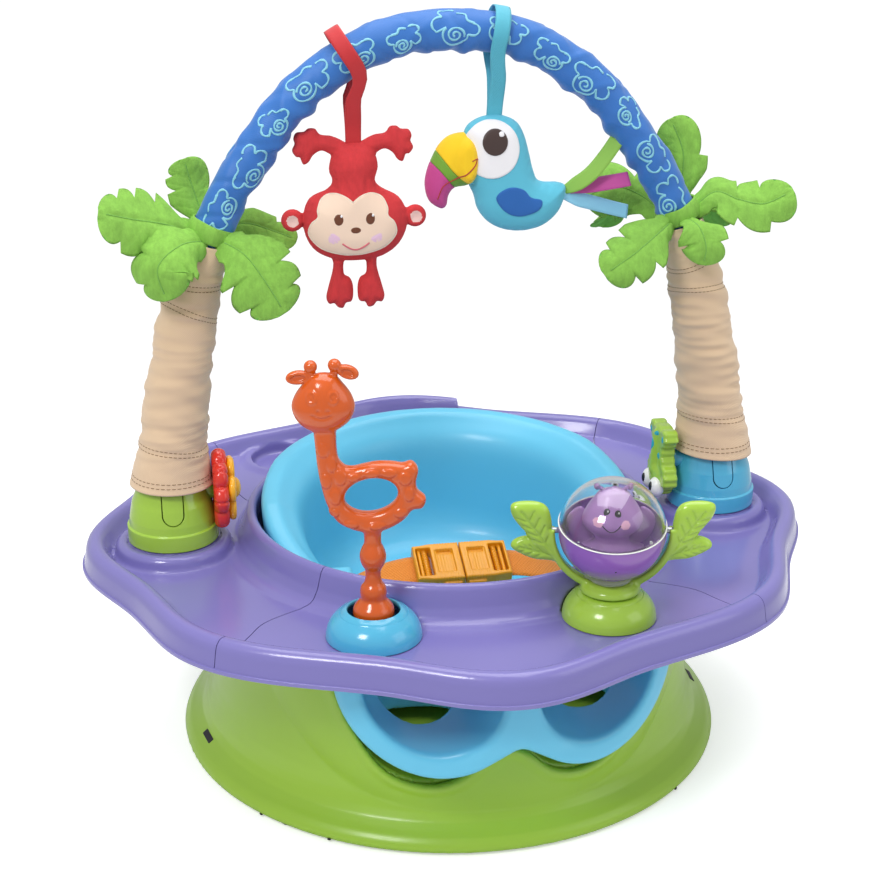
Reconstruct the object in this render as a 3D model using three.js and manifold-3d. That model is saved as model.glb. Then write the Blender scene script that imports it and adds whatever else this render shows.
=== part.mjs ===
// Baby activity seat: a round floor base, a moulded seat with two leg troughs, and a ring tray in
// four segments that turns about the seat and carries a toy arch, a giraffe and a ball spinner.
// Millimetres, +Z up. The origin is on the floor under the centre of the base; -Y is the front.
import * as THREE from 'three';
import { mergeVertices } from 'three/addons/utils/BufferGeometryUtils.js';
import Module from 'manifold-3d';

const wasm = await Module();
wasm.setup();

// ---------- driving dimensions ----------
const GAP = 0.4;
const BRIM_R = 192;
const DRUM_R = 170;
const DRUM_TOP = 124;
const WALL = 3;
const SEAT_R = 132;
const SEAT_FLOOR = 85;
const TROUGH = { x: 53, z: 125, inner: 41, outer: 57, front: -211, back: -60, top: 133 };
// Right half of the mouth in the drum's front, (x, z), from its top corner to the hump in the middle.
const DRUM_MOUTH = [[111, 129], [110, 88], [98, 54], [75, 37], [51, 32], [30, 38], [13, 53], [0, 58]];
const DECK_Z = 60;
const COLLAR_R = 134.6;
const FLOOR_Z = 143;
const TRAY_BOTTOM = 135.2;
const TRAY_NOMINAL_R = 300;
// Outline of the tray: angle from the front (degrees) and radius, one quarter, then mirrored.
const TRAY_LOBES = [[0, 246], [22, 229], [51, 245], [68, 238], [90, 255]];
// The seams between the segments, on the right, from the collar outwards; y is the distance from the X
// axis.
const FRONT_SEAM = [[85, 84], [104, 101], [124, 112], [142, 125], [153, 143], [168, 162], [230, 222]];
const BACK_SEAM = [[120, 66], [134, 74], [143, 97], [143, 119], [147, 153], [158, 174], [215, 235]];
const SOCKET_X = 192.5;
const SOCKET_BASE = 153.3;
const SOCKET_TOP = 199;
const PAD_R = 39;
const CUP = { x: -99, y: 158, r: 28, floor: 136.4 };
const GIRAFFE = { x: -75, y: -152 };
const SPINNER = { x: 76, y: -151 };
const TOY_TURN = -10;
const DOME_R = 30;
const DOME_TOP = 161;
const BALL = { z: 202, r: 34, wall: 2.2 };
const TUBE_R = 8;
const SLEEVE_R = 12.5;
// Right half of the arch's centre line, (x, z), from the socket to the crown.
const ARCH = [[192.5, 165], [191.5, 200], [186.5, 245], [177, 300], [167.5, 340], [147.2, 386.5],
    [129.8, 413],
  [105.5, 445], [78, 468], [42, 486], [0, 491]];
const TRUNK_TOP = 350;
const LEAF_Z = 366;
const MONKEY_X = -63;
const TOUCAN_X = 29;
const SPIN_Z = 186;
const BUCKLE = { y: -30, z: 131, tilt: 35 };

// ---------- materials ----------
const plastic = (color, roughness = 0.3) => new THREE.MeshStandardMaterial({ color, roughness,
    metalness: 0 });
const GREEN = plastic(0x93c043);
const LIME = plastic(0x9ccb3b);
const BLUE = plastic(0x4fb6dc, 0.45);
const SKY = plastic(0x44b8e0);
const PURPLE = plastic(0x7b70b8);
const ORANGE = plastic(0xe1602c);
const ORCHID = plastic(0x9a5cb4);
const CLEAR = plastic(0xe8eef2, 0.05);
const RED = plastic(0xd6332f);
const YELLOW = plastic(0xf2b632);
const WHITE = plastic(0xf5f5f2);
const BUCKLE_ORANGE = plastic(0xf0aa32);
const RUBBER = plastic(0x3a3a3c, 0.9);
const NYLON = plastic(0xdedcd4, 0.5);
const STEEL = new THREE.MeshStandardMaterial({ color: 0xb8bcc0, roughness: 0.35, metalness: 1 });
const cloth = (color) => plastic(color, 0.9);
const TAN = cloth(0xc9a57c);
const SATIN = cloth(0x3a7cc8);
const LEAF = cloth(0xa6d37a);
const PLUSH_RED = cloth(0xc8323c);
const PLUSH_BLUE = cloth(0x56b4dc);
const WEBBING = cloth(0xd98a2b);

// ---------- solids ----------
const rad = THREE.MathUtils.degToRad;

// A closed solid from a geometry: shared points merged, slivers dropped, faces turned outwards.
function solid(source) {
  const bare = source.clone();
  bare.deleteAttribute('normal');
  bare.deleteAttribute('uv');
  const merged = mergeVertices(bare, 1e-3);
  const at = merged.attributes.position;
  const index = merged.index.array;
  const faces = [];
  const [a, b, c] = [new THREE.Vector3(), new THREE.Vector3(), new THREE.Vector3()];
  let volume = 0;
  for (let i = 0; i < index.length; i += 3) {
    const [p, q, r] = [index[i], index[i + 1], index[i + 2]];
    if (p === q || q === r || r === p) continue;
    faces.push(p, q, r);
    a.fromBufferAttribute(at, p);
    b.fromBufferAttribute(at, q);
    c.fromBufferAttribute(at, r);
    volume += a.dot(b.cross(c));
  }
  if (volume < 0) faces.reverse();
  const vertProperties = new Float32Array(at.array);
  const triVerts = new Uint32Array(faces);
  return new wasm.Manifold(new wasm.Mesh({ numProp: 3, vertProperties, triVerts }));
}

function geometryOf(manifold) {
  const mesh = manifold.getMesh();
  const geometry = new THREE.BufferGeometry();
  geometry.setAttribute('position', new THREE.Float32BufferAttribute(mesh.vertProperties, 3));
  geometry.setIndex(Array.from(mesh.triVerts));
  geometry.computeVertexNormals();
  return geometry;
}

const union = (...parts) => parts.reduce((whole, part) => whole.add(part));
const points2 = (list) => list.map(([x, y]) => new THREE.Vector2(x, y));

// A turned solid about Z from a closed profile of [radius, z] points.
function turned(profile, sides = 32) {
  const closed = [...profile, profile[0]];
  return new THREE.LatheGeometry(points2(closed), sides).rotateX(Math.PI / 2);
}

// A plate in the XZ plane from an outline of [x, z] points, centred on y = 0.
function plate(shape, thick, curveSegments = 8) {
  const outline = shape instanceof THREE.Shape ? shape : new THREE.Shape(points2(shape));
  const geometry = new THREE.ExtrudeGeometry(outline, { depth: thick, bevelEnabled: false,
      curveSegments });
  return geometry.translate(0, 0, -thick / 2).rotateX(Math.PI / 2);
}

// A slab standing on z = low, from an outline of [x, y] points.
function slab(shape, low, high, curveSegments = 8) {
  const outline = shape instanceof THREE.Shape ? shape : new THREE.Shape(points2(shape));
  const geometry = new THREE.ExtrudeGeometry(outline, { depth: high - low, bevelEnabled: false,
      curveSegments });
  return geometry.translate(0, 0, low);
}

const ball = (x, y, z, rx, ry = rx, rz = rx, sides = 8) =>
  new THREE.SphereGeometry(1, sides, Math.round(sides * 0.6)).rotateX(Math.PI / 2).scale(rx, ry,
      rz).translate(x, y, z);

const box = (x0, x1, y0, y1, z0, z1) =>
  new THREE.BoxGeometry(x1 - x0, y1 - y0, z1 - z0).translate((x0 + x1) / 2, (y0 + y1) / 2, (z0 + z1) / 2);

// A round bar between two points.
function bar(from, to, r0, r1 = r0, sides = 8) {
  const [a, b] = [new THREE.Vector3(...from), new THREE.Vector3(...to)];
  const axis = b.clone().sub(a);
  const geometry = new THREE.CylinderGeometry(r1, r0, axis.length(), sides);
  const turn = new THREE.Quaternion().setFromUnitVectors(new THREE.Vector3(0, 1, 0),
      axis.clone().normalize());
  return geometry.applyQuaternion(turn).translate(...a.add(b).multiplyScalar(0.5).toArray());
}

const seat = new THREE.Group();
function piece(name, shape, material, parent = seat) {
  const manifold = shape instanceof THREE.BufferGeometry ? solid(shape) : shape;
  const mesh = new THREE.Mesh(geometryOf(manifold), material);
  mesh.name = name;
  parent.add(mesh);
  return mesh;
}

// ---------- base ----------
function addBase() {
  const profile = [[174, 1.6], [BRIM_R, 1.6], [BRIM_R, 5], [189, 10], [181, 15], [173, 27], [DRUM_R, 44],
    [DRUM_R, DRUM_TOP], [137, DRUM_TOP], [137, DRUM_TOP - WALL], [DRUM_R - WALL, DRUM_TOP - WALL],
    [DRUM_R - WALL, 44], [170, 26], [179, 12.6], [187, 4.6], [174, 4.6]];
  let shell = solid(turned(profile, 40));
  const half = new THREE.SplineCurve(points2(DRUM_MOUTH.slice(1))).getPoints(14).map((p) => [p.x, p.y]);
  const mouth = [DRUM_MOUTH[0], ...half, ...half.slice(0, -1).reverse().map(([x, z]) => [-x, z])];
  mouth.push([-DRUM_MOUTH[0][0], DRUM_MOUTH[0][1]]);
  shell = shell.subtract(solid(plate(mouth, 170).translate(0, -145, 0)));
  // A pocket behind the mouth, below the deck, closes the drum under the leg troughs.
  const lip = mouth.map(([x, z]) => [x * 1.03, z > 120 ? z : z - 4]);
  const pocket = solid(plate(lip, 98).translate(0, -119,
      0)).subtract(solid(plate(mouth, 98).translate(0, -122, 0)));
  const reach = solid(new THREE.CylinderGeometry(168.5, 168.5, 80, 40).rotateX(Math.PI / 2).translate(0,
      0, 20));
  shell = shell.add(pocket.intersect(reach).intersect(solid(box(-130, 130, -170, -60, 20,
      DECK_Z - GAP))));
  for (const side of [-1, 1]) {
    shell = shell.subtract(solid(box(-11, 11, -24, -12, 13, 19).translate(side * 179, 0, 0)));
  }
  for (const turn of [-139, -124, -49, 41, 56, 131]) {
    const notch = box(BRIM_R - 3, BRIM_R + 3, -1.6, 1.6, 0, 3.6).rotateZ(rad(turn));
    shell = shell.subtract(solid(notch));
  }
  piece('base_shell', shell, GREEN);
  // The deck that the moulded seat stands on, screwed up into the drum.
  const deck = [[0, DECK_Z], [166.2, DECK_Z], [166.2, DECK_Z + WALL], [72, DECK_Z + WALL], [72, 79.6],
      [66, 79.6],
    [66, DECK_Z + WALL], [0, DECK_Z + WALL]];
  const lugs = turned([[150, DECK_Z + WALL], [154, DECK_Z + WALL], [154, 66.6], [150, 66.6]], 30);
  const screwX = 152;
  let plateSolid = solid(turned(deck, 30));
  plateSolid = plateSolid.add(solid(lugs).intersect(solid(box(-170, 170, 20, 170, 50, 90))));
  for (let i = 0; i < 4; i++) {
    const [x, y] = [screwX * Math.cos(rad(25 + 43 * i)), screwX * Math.sin(rad(25 + 43 * i))];
    plateSolid = plateSolid.subtract(wholeDisc(x, y, 1.7, 50, 90, 10));
    const screw = [[0, 56.8], [3.4, 56.8], [3.4, DECK_Z - GAP], [1.4, DECK_Z - GAP], [1.4, 65], [0, 65]];
    piece(`deck_screw_${i + 1}`, turned(screw, 10).translate(x, y, 0), STEEL);
  }
  piece('booster_deck', plateSolid, GREEN);
  for (let i = 0; i < 4; i++) {
    const turn = rad(45 + 90 * i);
    const pad = new THREE.CylinderGeometry(7, 7, 1.2, 12).rotateX(Math.PI / 2).translate(182, 0,
        0.6).rotateZ(turn);
    piece(`foot_pad_${i + 1}`, pad, RUBBER);
  }
  // The ring that the tray turns on; it stops short of the leg troughs.
  const ringTop = TRAY_BOTTOM + 2.4;
  const ring = [[137.4, DRUM_TOP + GAP], [150, DRUM_TOP + GAP], [150, DRUM_TOP + 3], [141, DRUM_TOP + 3],
    [141, ringTop], [134.8, ringTop], [134.8, ringTop - 8], [137.4, ringTop - 9]];
  piece('glide_ring', solid(turned(ring, 30)).subtract(solid(box(-113, 113, -160, 0, 100, 150))), NYLON);
}

// ---------- seat ----------
const buckleFrame = new THREE.Group();
buckleFrame.position.set(0, BUCKLE.y, BUCKLE.z);
buckleFrame.rotation.x = rad(BUCKLE.tilt);
buckleFrame.updateMatrix();
seat.add(buckleFrame);
const STRAP_SLOPE = 15;

// One strap: it leaves the buckle at x = 34 and runs down through the slot in the seat's side.
const strapBox = (side, width, thick, length) => new THREE.BoxGeometry(length, width, thick)
  .translate(length / 2, 0, 0).rotateY(rad(STRAP_SLOPE)).translate(34.6, 0,
      -2).rotateZ(side < 0 ? Math.PI : 0);

function addSeat() {
  const bowl = [[0, 80], [92, 80], [112, 92], [126, 118], [130, 150], [SEAT_R, 176], [SEAT_R, 215],
      [118, 215],
    [117, 150], [112, 122], [99, 98], [80, SEAT_FLOOR], [0, SEAT_FLOOR]];
  const rim = [[-140, 149], [-64, 149], [0, 172], [60, 182], [SEAT_R + 8, 189], [SEAT_R + 8, 60],
      [-140, 60]];
  const keep = plate(rim, 300).rotateZ(Math.PI / 2);
  let shell = solid(turned(bowl, 32)).intersect(solid(keep));
  const { x, z, inner, outer, front, back, top } = TROUGH;
  const under = solid(box(-130, 130, front - 9, back, 40, top));
  for (const side of [-1, 1]) {
    const trough = bar([side * x, front, z], [side * (x - 6), back - 20, z + 2], outer, outer - 6, 20);
    shell = shell.add(solid(trough).intersect(under));
  }
  shell = shell.add(solid(box(-26, 26, front + 9, back - 30, 84, z)));
  for (const side of [-1, 1]) {
    shell = shell.subtract(solid(bar([side * x, front - 9, z], [side * (x - 6), back + 2, z], inner,
        inner, 16)));
    // An oval drain in the floor of each trough.
    const drain = new THREE.Shape().absellipse(side * 52, -140, 26, 24, 0, 2 * Math.PI);
    shell = shell.subtract(solid(slab(drain, 60, 100, 6)));
    const slot = strapBox(side, 29, side < 0 ? 16 : 11, 120).applyMatrix4(buckleFrame.matrix);
    shell = shell.subtract(solid(slot));
  }
  shell = shell.subtract(solid(box(-x - inner, x + inner, front - 9, back, z, 220)));
  piece('seat_shell', shell, BLUE);
}

// ---------- lap belt ----------
function addBelt() {
  const body = solid(box(0.4, 33, -18, 18, -5.5, 5.5));
  const cavity = solid(box(-1, 24, -14, 14, -2.7, 2.7));
  const windows = solid(box(8, 18, -20, 20, -2.7, 2.7));
  piece('buckle_socket', body.subtract(cavity).subtract(windows), BUCKLE_ORANGE, buckleFrame);
  const prong = (y0, y1) => solid(box(-3, 20, y0, y1, -2, 2));
  const plug = union(solid(box(-33, -0.2, -17, 17, -5, 5)), prong(-13, -8), prong(8, 13),
      prong(-2.5, 2.5));
  piece('buckle_plug', plug, BUCKLE_ORANGE, buckleFrame);
  piece('strap_left', strapBox(-1, 25, 2, 112), WEBBING, buckleFrame);
  piece('strap_right', strapBox(1, 25, 2, 112), WEBBING, buckleFrame);
}

// ---------- tray ----------
// Radius of the tray's outline at a direction in the plan.
function outlineRadius(x, y) {
  const turn = THREE.MathUtils.radToDeg(Math.atan2(Math.abs(x), Math.abs(y)));
  const next = TRAY_LOBES.findIndex(([angle]) => angle >= turn);
  if (next <= 0) return TRAY_LOBES[0][1];
  const [[a0, r0], [a1, r1]] = [TRAY_LOBES[next - 1], TRAY_LOBES[next]];
  const blend = (1 - Math.cos((Math.PI * (turn - a0)) / (a1 - a0))) / 2;
  return r0 + (r1 - r0) * blend;
}

// Moves the rim of a turned ring in or out, so that it follows the tray's outline.
function followOutline(geometry) {
  const at = geometry.attributes.position;
  for (let i = 0; i < at.count; i++) {
    const [x, y] = [at.getX(i), at.getY(i)];
    const r = Math.hypot(x, y);
    if (r < TRAY_NOMINAL_R - 60) continue;
    const scale = (outlineRadius(x, y) - (TRAY_NOMINAL_R - r)) / r;
    at.setXY(i, x * scale, y * scale);
  }
  return geometry;
}

function trayRing() {
  const rim = (inset, z) => [TRAY_NOMINAL_R - inset, z];
  const profile = [
    rim(0, TRAY_BOTTOM), rim(0, 138), rim(3, 150), rim(8, 155), rim(14, 154), rim(21, FLOOR_Z),
        [150, FLOOR_Z],
    [144, 153], [139.5, 156.5], [COLLAR_R, 152], [COLLAR_R, 138], [COLLAR_R + 2.6, 138], [139.5, 152.5],
    [147, 140.2], rim(23, 140.2), rim(15, 151), rim(8, 151.5), rim(3.4, TRAY_BOTTOM)];
  return solid(followOutline(turned(profile, 52)));
}

const wholeDisc = (x, y, r, low, high, sides = 20) =>
  solid(new THREE.CylinderGeometry(r, r, high - low, sides).rotateX(Math.PI / 2).translate(x, y,
      (low + high) / 2));

function addTray(parent) {
  let ring = trayRing();
  // The rim stands higher behind the seat, with square ends.
  const raised = trayRing().translate([0, 0, 7]).intersect(solid(box(-60, 60, 205, 260, 147, 170)));
  const bridge = trayRing().intersect(solid(box(-60, 60, 205, 260, 149, 170))).translate([0, 0, 3.4]);
  ring = union(ring, raised, bridge);
  for (const side of [-1, 1]) {
    const pad = [[0, FLOOR_Z - 2.4], [PAD_R + 2, FLOOR_Z - 2.4], [PAD_R, 150],
        [PAD_R - 3, SOCKET_BASE - GAP],
      [0, SOCKET_BASE - GAP]];
    ring = ring.add(solid(turned(pad, 24).translate(side * SOCKET_X, 0.7, 0)));
    const hollow = wholeDisc(side * SOCKET_X, 0.7, PAD_R - 5, FLOOR_Z - 6, SOCKET_BASE - 3.4);
    ring = ring.subtract(hollow);
  }
  // The toy domes stand in round niches at the foot of the collar.
  const collar = [[COLLAR_R, 138], [170, 138], [170, FLOOR_Z], [150, FLOOR_Z], [144, 153], [139.5, 156.5],
    [COLLAR_R, 152]];
  for (const toy of [GIRAFFE, SPINNER]) {
    const fill = solid(turned(collar, 52)).intersect(wholeDisc(toy.x, toy.y, DOME_R + 3, 138, 160));
    ring = ring.add(fill);
    ring = ring.subtract(wholeDisc(toy.x, toy.y, DOME_R + GAP, FLOOR_Z, 170));
  }
  ring = ring.add(wholeDisc(CUP.x, CUP.y, CUP.r + 1.6, CUP.floor - 1.8, FLOOR_Z - 1));
  ring = ring.subtract(wholeDisc(CUP.x, CUP.y, CUP.r, CUP.floor, FLOOR_Z + 10));
  const quadrants = [[1, 1], [-1, 1], [-1, -1], [1, -1]];
  const corners = quadrants.map(([sx, sy]) => (sy > 0 ? BACK_SEAM : FRONT_SEAM).map(([x, y]) => [x * sx,
      y * sy]));
  const names = ['tray_back', 'tray_left', 'tray_front', 'tray_right'];
  const far = [[0, 300], [-300, 0], [0, -300], [300, 0]];
  names.forEach((name, i) => {
    const outline = [...corners[i], far[i], ...corners[(i + 1) % 4].slice().reverse()];
    const wedge = slab(shrunk(outline), 100, 200);
    piece(name, ring.intersect(solid(wedge)), PURPLE, parent);
  });
  // A plate under the floor joins the two segments at each seam.
  for (let i = 0; i < 4; i++) {
    const [sx, sy] = quadrants[i];
    const [turn, x, y] = sy > 0 ? [90, 143, 113] : [45, 133, 119];
    const latch = box(-9, 9, -13, 13, 137, 139.8).rotateZ(rad(turn * sx * sy)).translate(sx * x, sy * y,
        0);
    piece(`seam_latch_${i + 1}`, latch, NYLON, parent);
  }
}

// Pulls an outline in by half the seam's gap, so that neighbouring segments stay clear.
function shrunk(outline) {
  const count = outline.length;
  return outline.map(([x, y], i) => {
    const [ax, ay] = outline[(i + count - 1) % count];
    const [bx, by] = outline[(i + 1) % count];
    const along = new THREE.Vector2(bx - ax, by - ay).normalize();
    return [x - along.y * GAP / 2, y + along.x * GAP / 2];
  });
}

// ---------- arch ----------
const archPoints = [...ARCH, ...ARCH.slice(0, -1).reverse().map(([x, z]) => [-x, z])];
const archCurve = new THREE.CatmullRomCurve3(archPoints.map(([x, z]) => new THREE.Vector3(x, 0.7, z)));

// The parameter at which one leg of the arch reaches a height.
function archAt(z) {
  let [low, high] = [0, 0.5];
  for (let i = 0; i < 40; i++) {
    const middle = (low + high) / 2;
    if (archCurve.getPoint(middle).z < z) low = middle;
    else high = middle;
  }
  return low;
}

class ArchSpan extends THREE.Curve {
  constructor(from, to) {
    super();
    this.from = from;
    this.to = to;
  }
  getPoint(t, target = new THREE.Vector3()) {
    return target.copy(archCurve.getPoint(this.from + (this.to - this.from) * t));
  }
}

function tubeAlong(path, outer, inner, steps, sides) {
  const section = new THREE.Shape().absarc(0, 0, outer, 0, 2 * Math.PI);
  if (inner) section.holes.push(new THREE.Path().absarc(0, 0, inner, 0, 2 * Math.PI));
  return new THREE.ExtrudeGeometry(section, { steps, curveSegments: sides, extrudePath: path,
      bevelEnabled: false });
}

function addSocket(side, parent) {
  const name = side < 0 ? 'left' : 'right';
  const x = side * SOCKET_X;
  const profile = [[31, SOCKET_BASE], [31, 164.5], [29.4, 166], [27, 181], [22.6, 192],
      [17, SOCKET_TOP - 1],
    [10.6, SOCKET_TOP], [10.6, 162], [13, 162], [13, 193], [18, 191.6], [24.4, 179], [27.6, 163],
    [27.6, SOCKET_BASE]];
  const inner = side * (SOCKET_X - 32);
  const boss = solid(bar([inner, 0.7, SPIN_Z], [side * (SOCKET_X - 20), 0.7, SPIN_Z], 6.4, 6.4, 10));
  const shell = solid(turned(profile, 18).translate(x, 0.7, 0));
  const core = wholeDisc(x, 0.7, 24, SPIN_Z - 9, SPIN_Z + 9, 12);
  let socket = shell.add(boss.subtract(core));
  const bore = solid(bar([inner - side * 5, 0.7, SPIN_Z], [side * (SOCKET_X - 14), 0.7, SPIN_Z], 2.6, 2.6,
      8));
  socket = socket.subtract(bore);
  const tabShape = (half) => {
    const shape = new THREE.Shape();
    shape.absarc(x, 179, half, Math.PI, 2 * Math.PI);
    shape.lineTo(x + half, 196);
    shape.lineTo(x - half, 196);
    return plate(shape, 20, 4).translate(0, -24, 0);
  };
  const tab = shell.intersect(solid(tabShape(6.8)));
  socket = socket.subtract(solid(tabShape(7 + GAP)).add(solid(box(x - 7 - GAP, x + 7 + GAP, -34, -14, 195,
      196 + GAP))));
  piece(`socket_${name}`, socket, side < 0 ? LIME : SKY, parent);
  piece(`socket_tab_${name}`, tab.intersect(solid(box(x - 8, x + 8, -34, -14.6, 170, 194.4))),
      side < 0 ? LIME : SKY,
    parent);
}

function addTrunk(side, parent) {
  const name = side < 0 ? 'left' : 'right';
  const profile = [[26.4, 193], [25, 203], [21.5, 220], [20.6, 249], [18.6, 294], [16.6, 334],
      [14.6, TRUNK_TOP],
    [9.8, TRUNK_TOP], [9.8, 334], [9.8, 294], [9.8, 249], [10.4, 213], [21, 202], [24.8, 193.4]];
  const geometry = turned(profile, 12);
  const at = geometry.attributes.position;
  for (let i = 0; i < at.count; i++) {
    const centre = archCurve.getPoint(archAt(at.getZ(i)));
    at.setX(i, at.getX(i) + side * centre.x);
    at.setY(i, at.getY(i) + 0.7);
  }
  piece(`trunk_${name}`, geometry, TAN, parent);
}

// Six pointed leaves sewn to one collar round the arch, square to the tube.
function addLeaves(side, parent) {
  const name = side < 0 ? 'left' : 'right';
  const outline = [];
  const lengths = [58, 56, 62, 44, 34, 44, 62, 56];
  lengths.forEach((length, i) => {
    const turn = rad(360 / lengths.length) * i;
    const half = rad(180 / lengths.length);
    outline.push([length * Math.cos(turn), length * Math.sin(turn)]);
    outline.push([26 * Math.cos(turn + half), 26 * Math.sin(turn + half)]);
  });
  const shape = new THREE.Shape(points2(outline));
  shape.holes.push(new THREE.Path().absarc(0, 0, SLEEVE_R + 1.5, 0, 2 * Math.PI));
  const at = archAt(LEAF_Z);
  const along = archCurve.getTangent(at);
  const centre = archCurve.getPoint(at);
  const turn = new THREE.Quaternion().setFromUnitVectors(new THREE.Vector3(0, 0, 1), along);
  const star = slab(shape, -3.5, 3.5, 8).applyQuaternion(turn).translate(...centre.toArray());
  if (side < 0) star.scale(-1, 1, 1);
  piece(`palm_leaves_${name}`, star, LEAF, parent);
}

function addArch(parent) {
  piece('arch_tube', tubeAlong(new ArchSpan(0, 1), TUBE_R, 0, 28, 4), STEEL, parent);
  const start = archAt(TRUNK_TOP + 7);
  piece('arch_sleeve', tubeAlong(new ArchSpan(start, 1 - start), SLEEVE_R, TUBE_R + 2, 20, 4), SATIN,
      parent);
  for (const side of [-1, 1]) {
    addSocket(side, parent);
    addTrunk(side, parent);
    addLeaves(side, parent);
  }
}

// ---------- toys on the sockets ----------
function scallops(count, outer, inner) {
  const outline = [];
  for (let i = 0; i < count * 3; i++) {
    const turn = (i / (count * 3)) * 2 * Math.PI;
    const r = inner + (outer - inner) * (0.5 + 0.5 * Math.cos(turn * count));
    outline.push([r * Math.cos(turn), r * Math.sin(turn)]);
  }
  return outline;
}

// Turns a plate that lies in the XZ plane to face the seat, and stands it at x.
const facing = (geometry, x, z) => geometry.rotateZ(Math.PI / 2).translate(x, 0.7, z);

function addSpinners(parent) {
  const boss = SOCKET_X - 32;
  const flowerX = -(boss - 4);
  const petals = solid(facing(plate(scallops(8, 28, 22), 6), flowerX, SPIN_Z));
  const hole = solid(bar([-boss - 1, 0.7, SPIN_Z], [-boss + 12, 0.7, SPIN_Z], 2.6, 2.6, 8));
  piece('flower_petals', petals.subtract(hole), RED, parent);
  const face = union(
    solid(facing(plate(scallops(6, 20, 14), 4), flowerX + 5.4, SPIN_Z)),
    solid(ball(flowerX + 7, 0.7, SPIN_Z, 4.5, 7, 7)));
  piece('flower_face', face, YELLOW, parent);
  piece('flower_axle', bar([-SOCKET_X + 16, 0.7, SPIN_Z], [flowerX + 2, 0.7, SPIN_Z], 2.2, 2.2, 10),
      STEEL, parent);
  const geckoX = boss - 5;
  const half = [[6, 26], [13, 23], [20, 22], [26, 15], [22, 8], [25, 0], [29, -9], [24, -16], [16, -18],
      [9, -25]];
  const outline = [...half.map(([x, z]) => [-x, z]), ...half.slice().reverse()];
  const body = solid(facing(plate(outline, 8), geckoX, SPIN_Z + 1));
  const bore = solid(bar([boss + 1, 0.7, SPIN_Z], [boss - 6, 0.7, SPIN_Z], 2.6, 2.6, 8));
  piece('gecko_body', body.subtract(bore), LIME, parent);
  const eyeX = geckoX - 8.2;
  const eyes = union(
    solid(ball(eyeX, -8, SPIN_Z - 17, 3.8, 6.5, 6.5)),
    solid(ball(eyeX, 9.4, SPIN_Z - 17, 3.8, 6.5, 6.5)),
    solid(box(eyeX - 1, eyeX + 3.8, -8, 9.4, SPIN_Z - 20, SPIN_Z - 14)));
  piece('gecko_eyes', eyes.subtract(solid(box(geckoX - 4 - GAP, geckoX + 9, -40, 40, 100, 240))), WHITE,
      parent);
  piece('gecko_axle', bar([SOCKET_X - 16, 0.7, SPIN_Z], [boss - 5.6, 0.7, SPIN_Z], 2.2, 2.2, 10), STEEL,
      parent);
}

// ---------- giraffe ----------
function toyGroup(place, parent) {
  const group = new THREE.Group();
  group.position.set(place.x, place.y, 0);
  group.rotation.z = rad(TOY_TURN);
  parent.add(group);
  return group;
}

function domeShell(mouth) {
  const foot = FLOOR_Z + GAP;
  const outer = [[DOME_R, foot], [DOME_R - 0.5, 147], [27, 153], [22.4, 158], [mouth, DOME_TOP]];
  const inner = [[mouth, DOME_TOP - 2.4], [20, 156.4], [26, 149.6], [27.6, foot]];
  return solid(turned([...outer, ...inner], 20));
}

function addGiraffe(parent) {
  const group = toyGroup(GIRAFFE, parent);
  piece('giraffe_dome', domeShell(16.4), SKY, group);
  const grommet = [[8, 144], [13, 144], [13, 152], [8, 152], [7.2, 150], [7.2, 147]];
  piece('giraffe_grommet', turned(grommet, 12), RUBBER, group);
  piece('giraffe_pivot', ball(0, 0, 149, 5.4, 5.4, 5.4, 12), NYLON, group);
  const leg = [[0, 157.6], [12, 157.6], [12.7, 160], [12.4, 164], [9, 167], [8.3, 173], [4.9, 180],
      [4.6, 185],
    [6.4, 190], [8, 197], [6.4, 203], [5, 209], [5.4, 218], [0, 218]];
  const ring = new THREE.Shape().absellipse(0, 237, 27, 22.5, 0, 2 * Math.PI, false, 0.15);
  ring.holes.push(new THREE.Path().absellipse(-0.4, 237.4, 16.4, 11.2, 0, 2 * Math.PI, false, 0.22));
  const neck = [[-33, 284], [-32, 250], [-27, 236], [-14, 250], [-17, 257], [-21, 266], [-22, 284]];
  const giraffe = union(
    solid(turned(leg, 12)),
    solid(bar([0, 0, 157.8], [0, 0, 154.8], 3.4, 3.4, 8)),
    solid(plate(ring, 10, 10)),
    solid(plate(neck, 10)),
    solid(ball(21, 0, 254, 6, 4.6, 6)),
    solid(bar([24, 0, 242], [31, 0, 237], 5, 3.4, 8)),
    solid(ball(-27.7, 0, 292.5, 18.6, 11.5, 15)),
    solid(ball(-27, 0, 305, 13.6, 9.5, 9.5)),
    solid(ball(-42, 0, 309, 7, 3.2, 4, 7)),
    solid(ball(-13, 0, 312, 7, 3.2, 4, 7)),
    solid(bar([-32, 0, 310], [-36, 0, 319], 2.4, 2.2, 6)),
    solid(bar([-23, 0, 310], [-20, 0, 320], 2.4, 2.2, 6)),
    solid(ball(-36.5, 0, 319, 3.6, 3.6, 3, 7)),
    solid(ball(-19.5, 0, 320.2, 3.6, 3.6, 3, 7)));
  piece('giraffe', giraffe, ORANGE, group);
}

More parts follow.
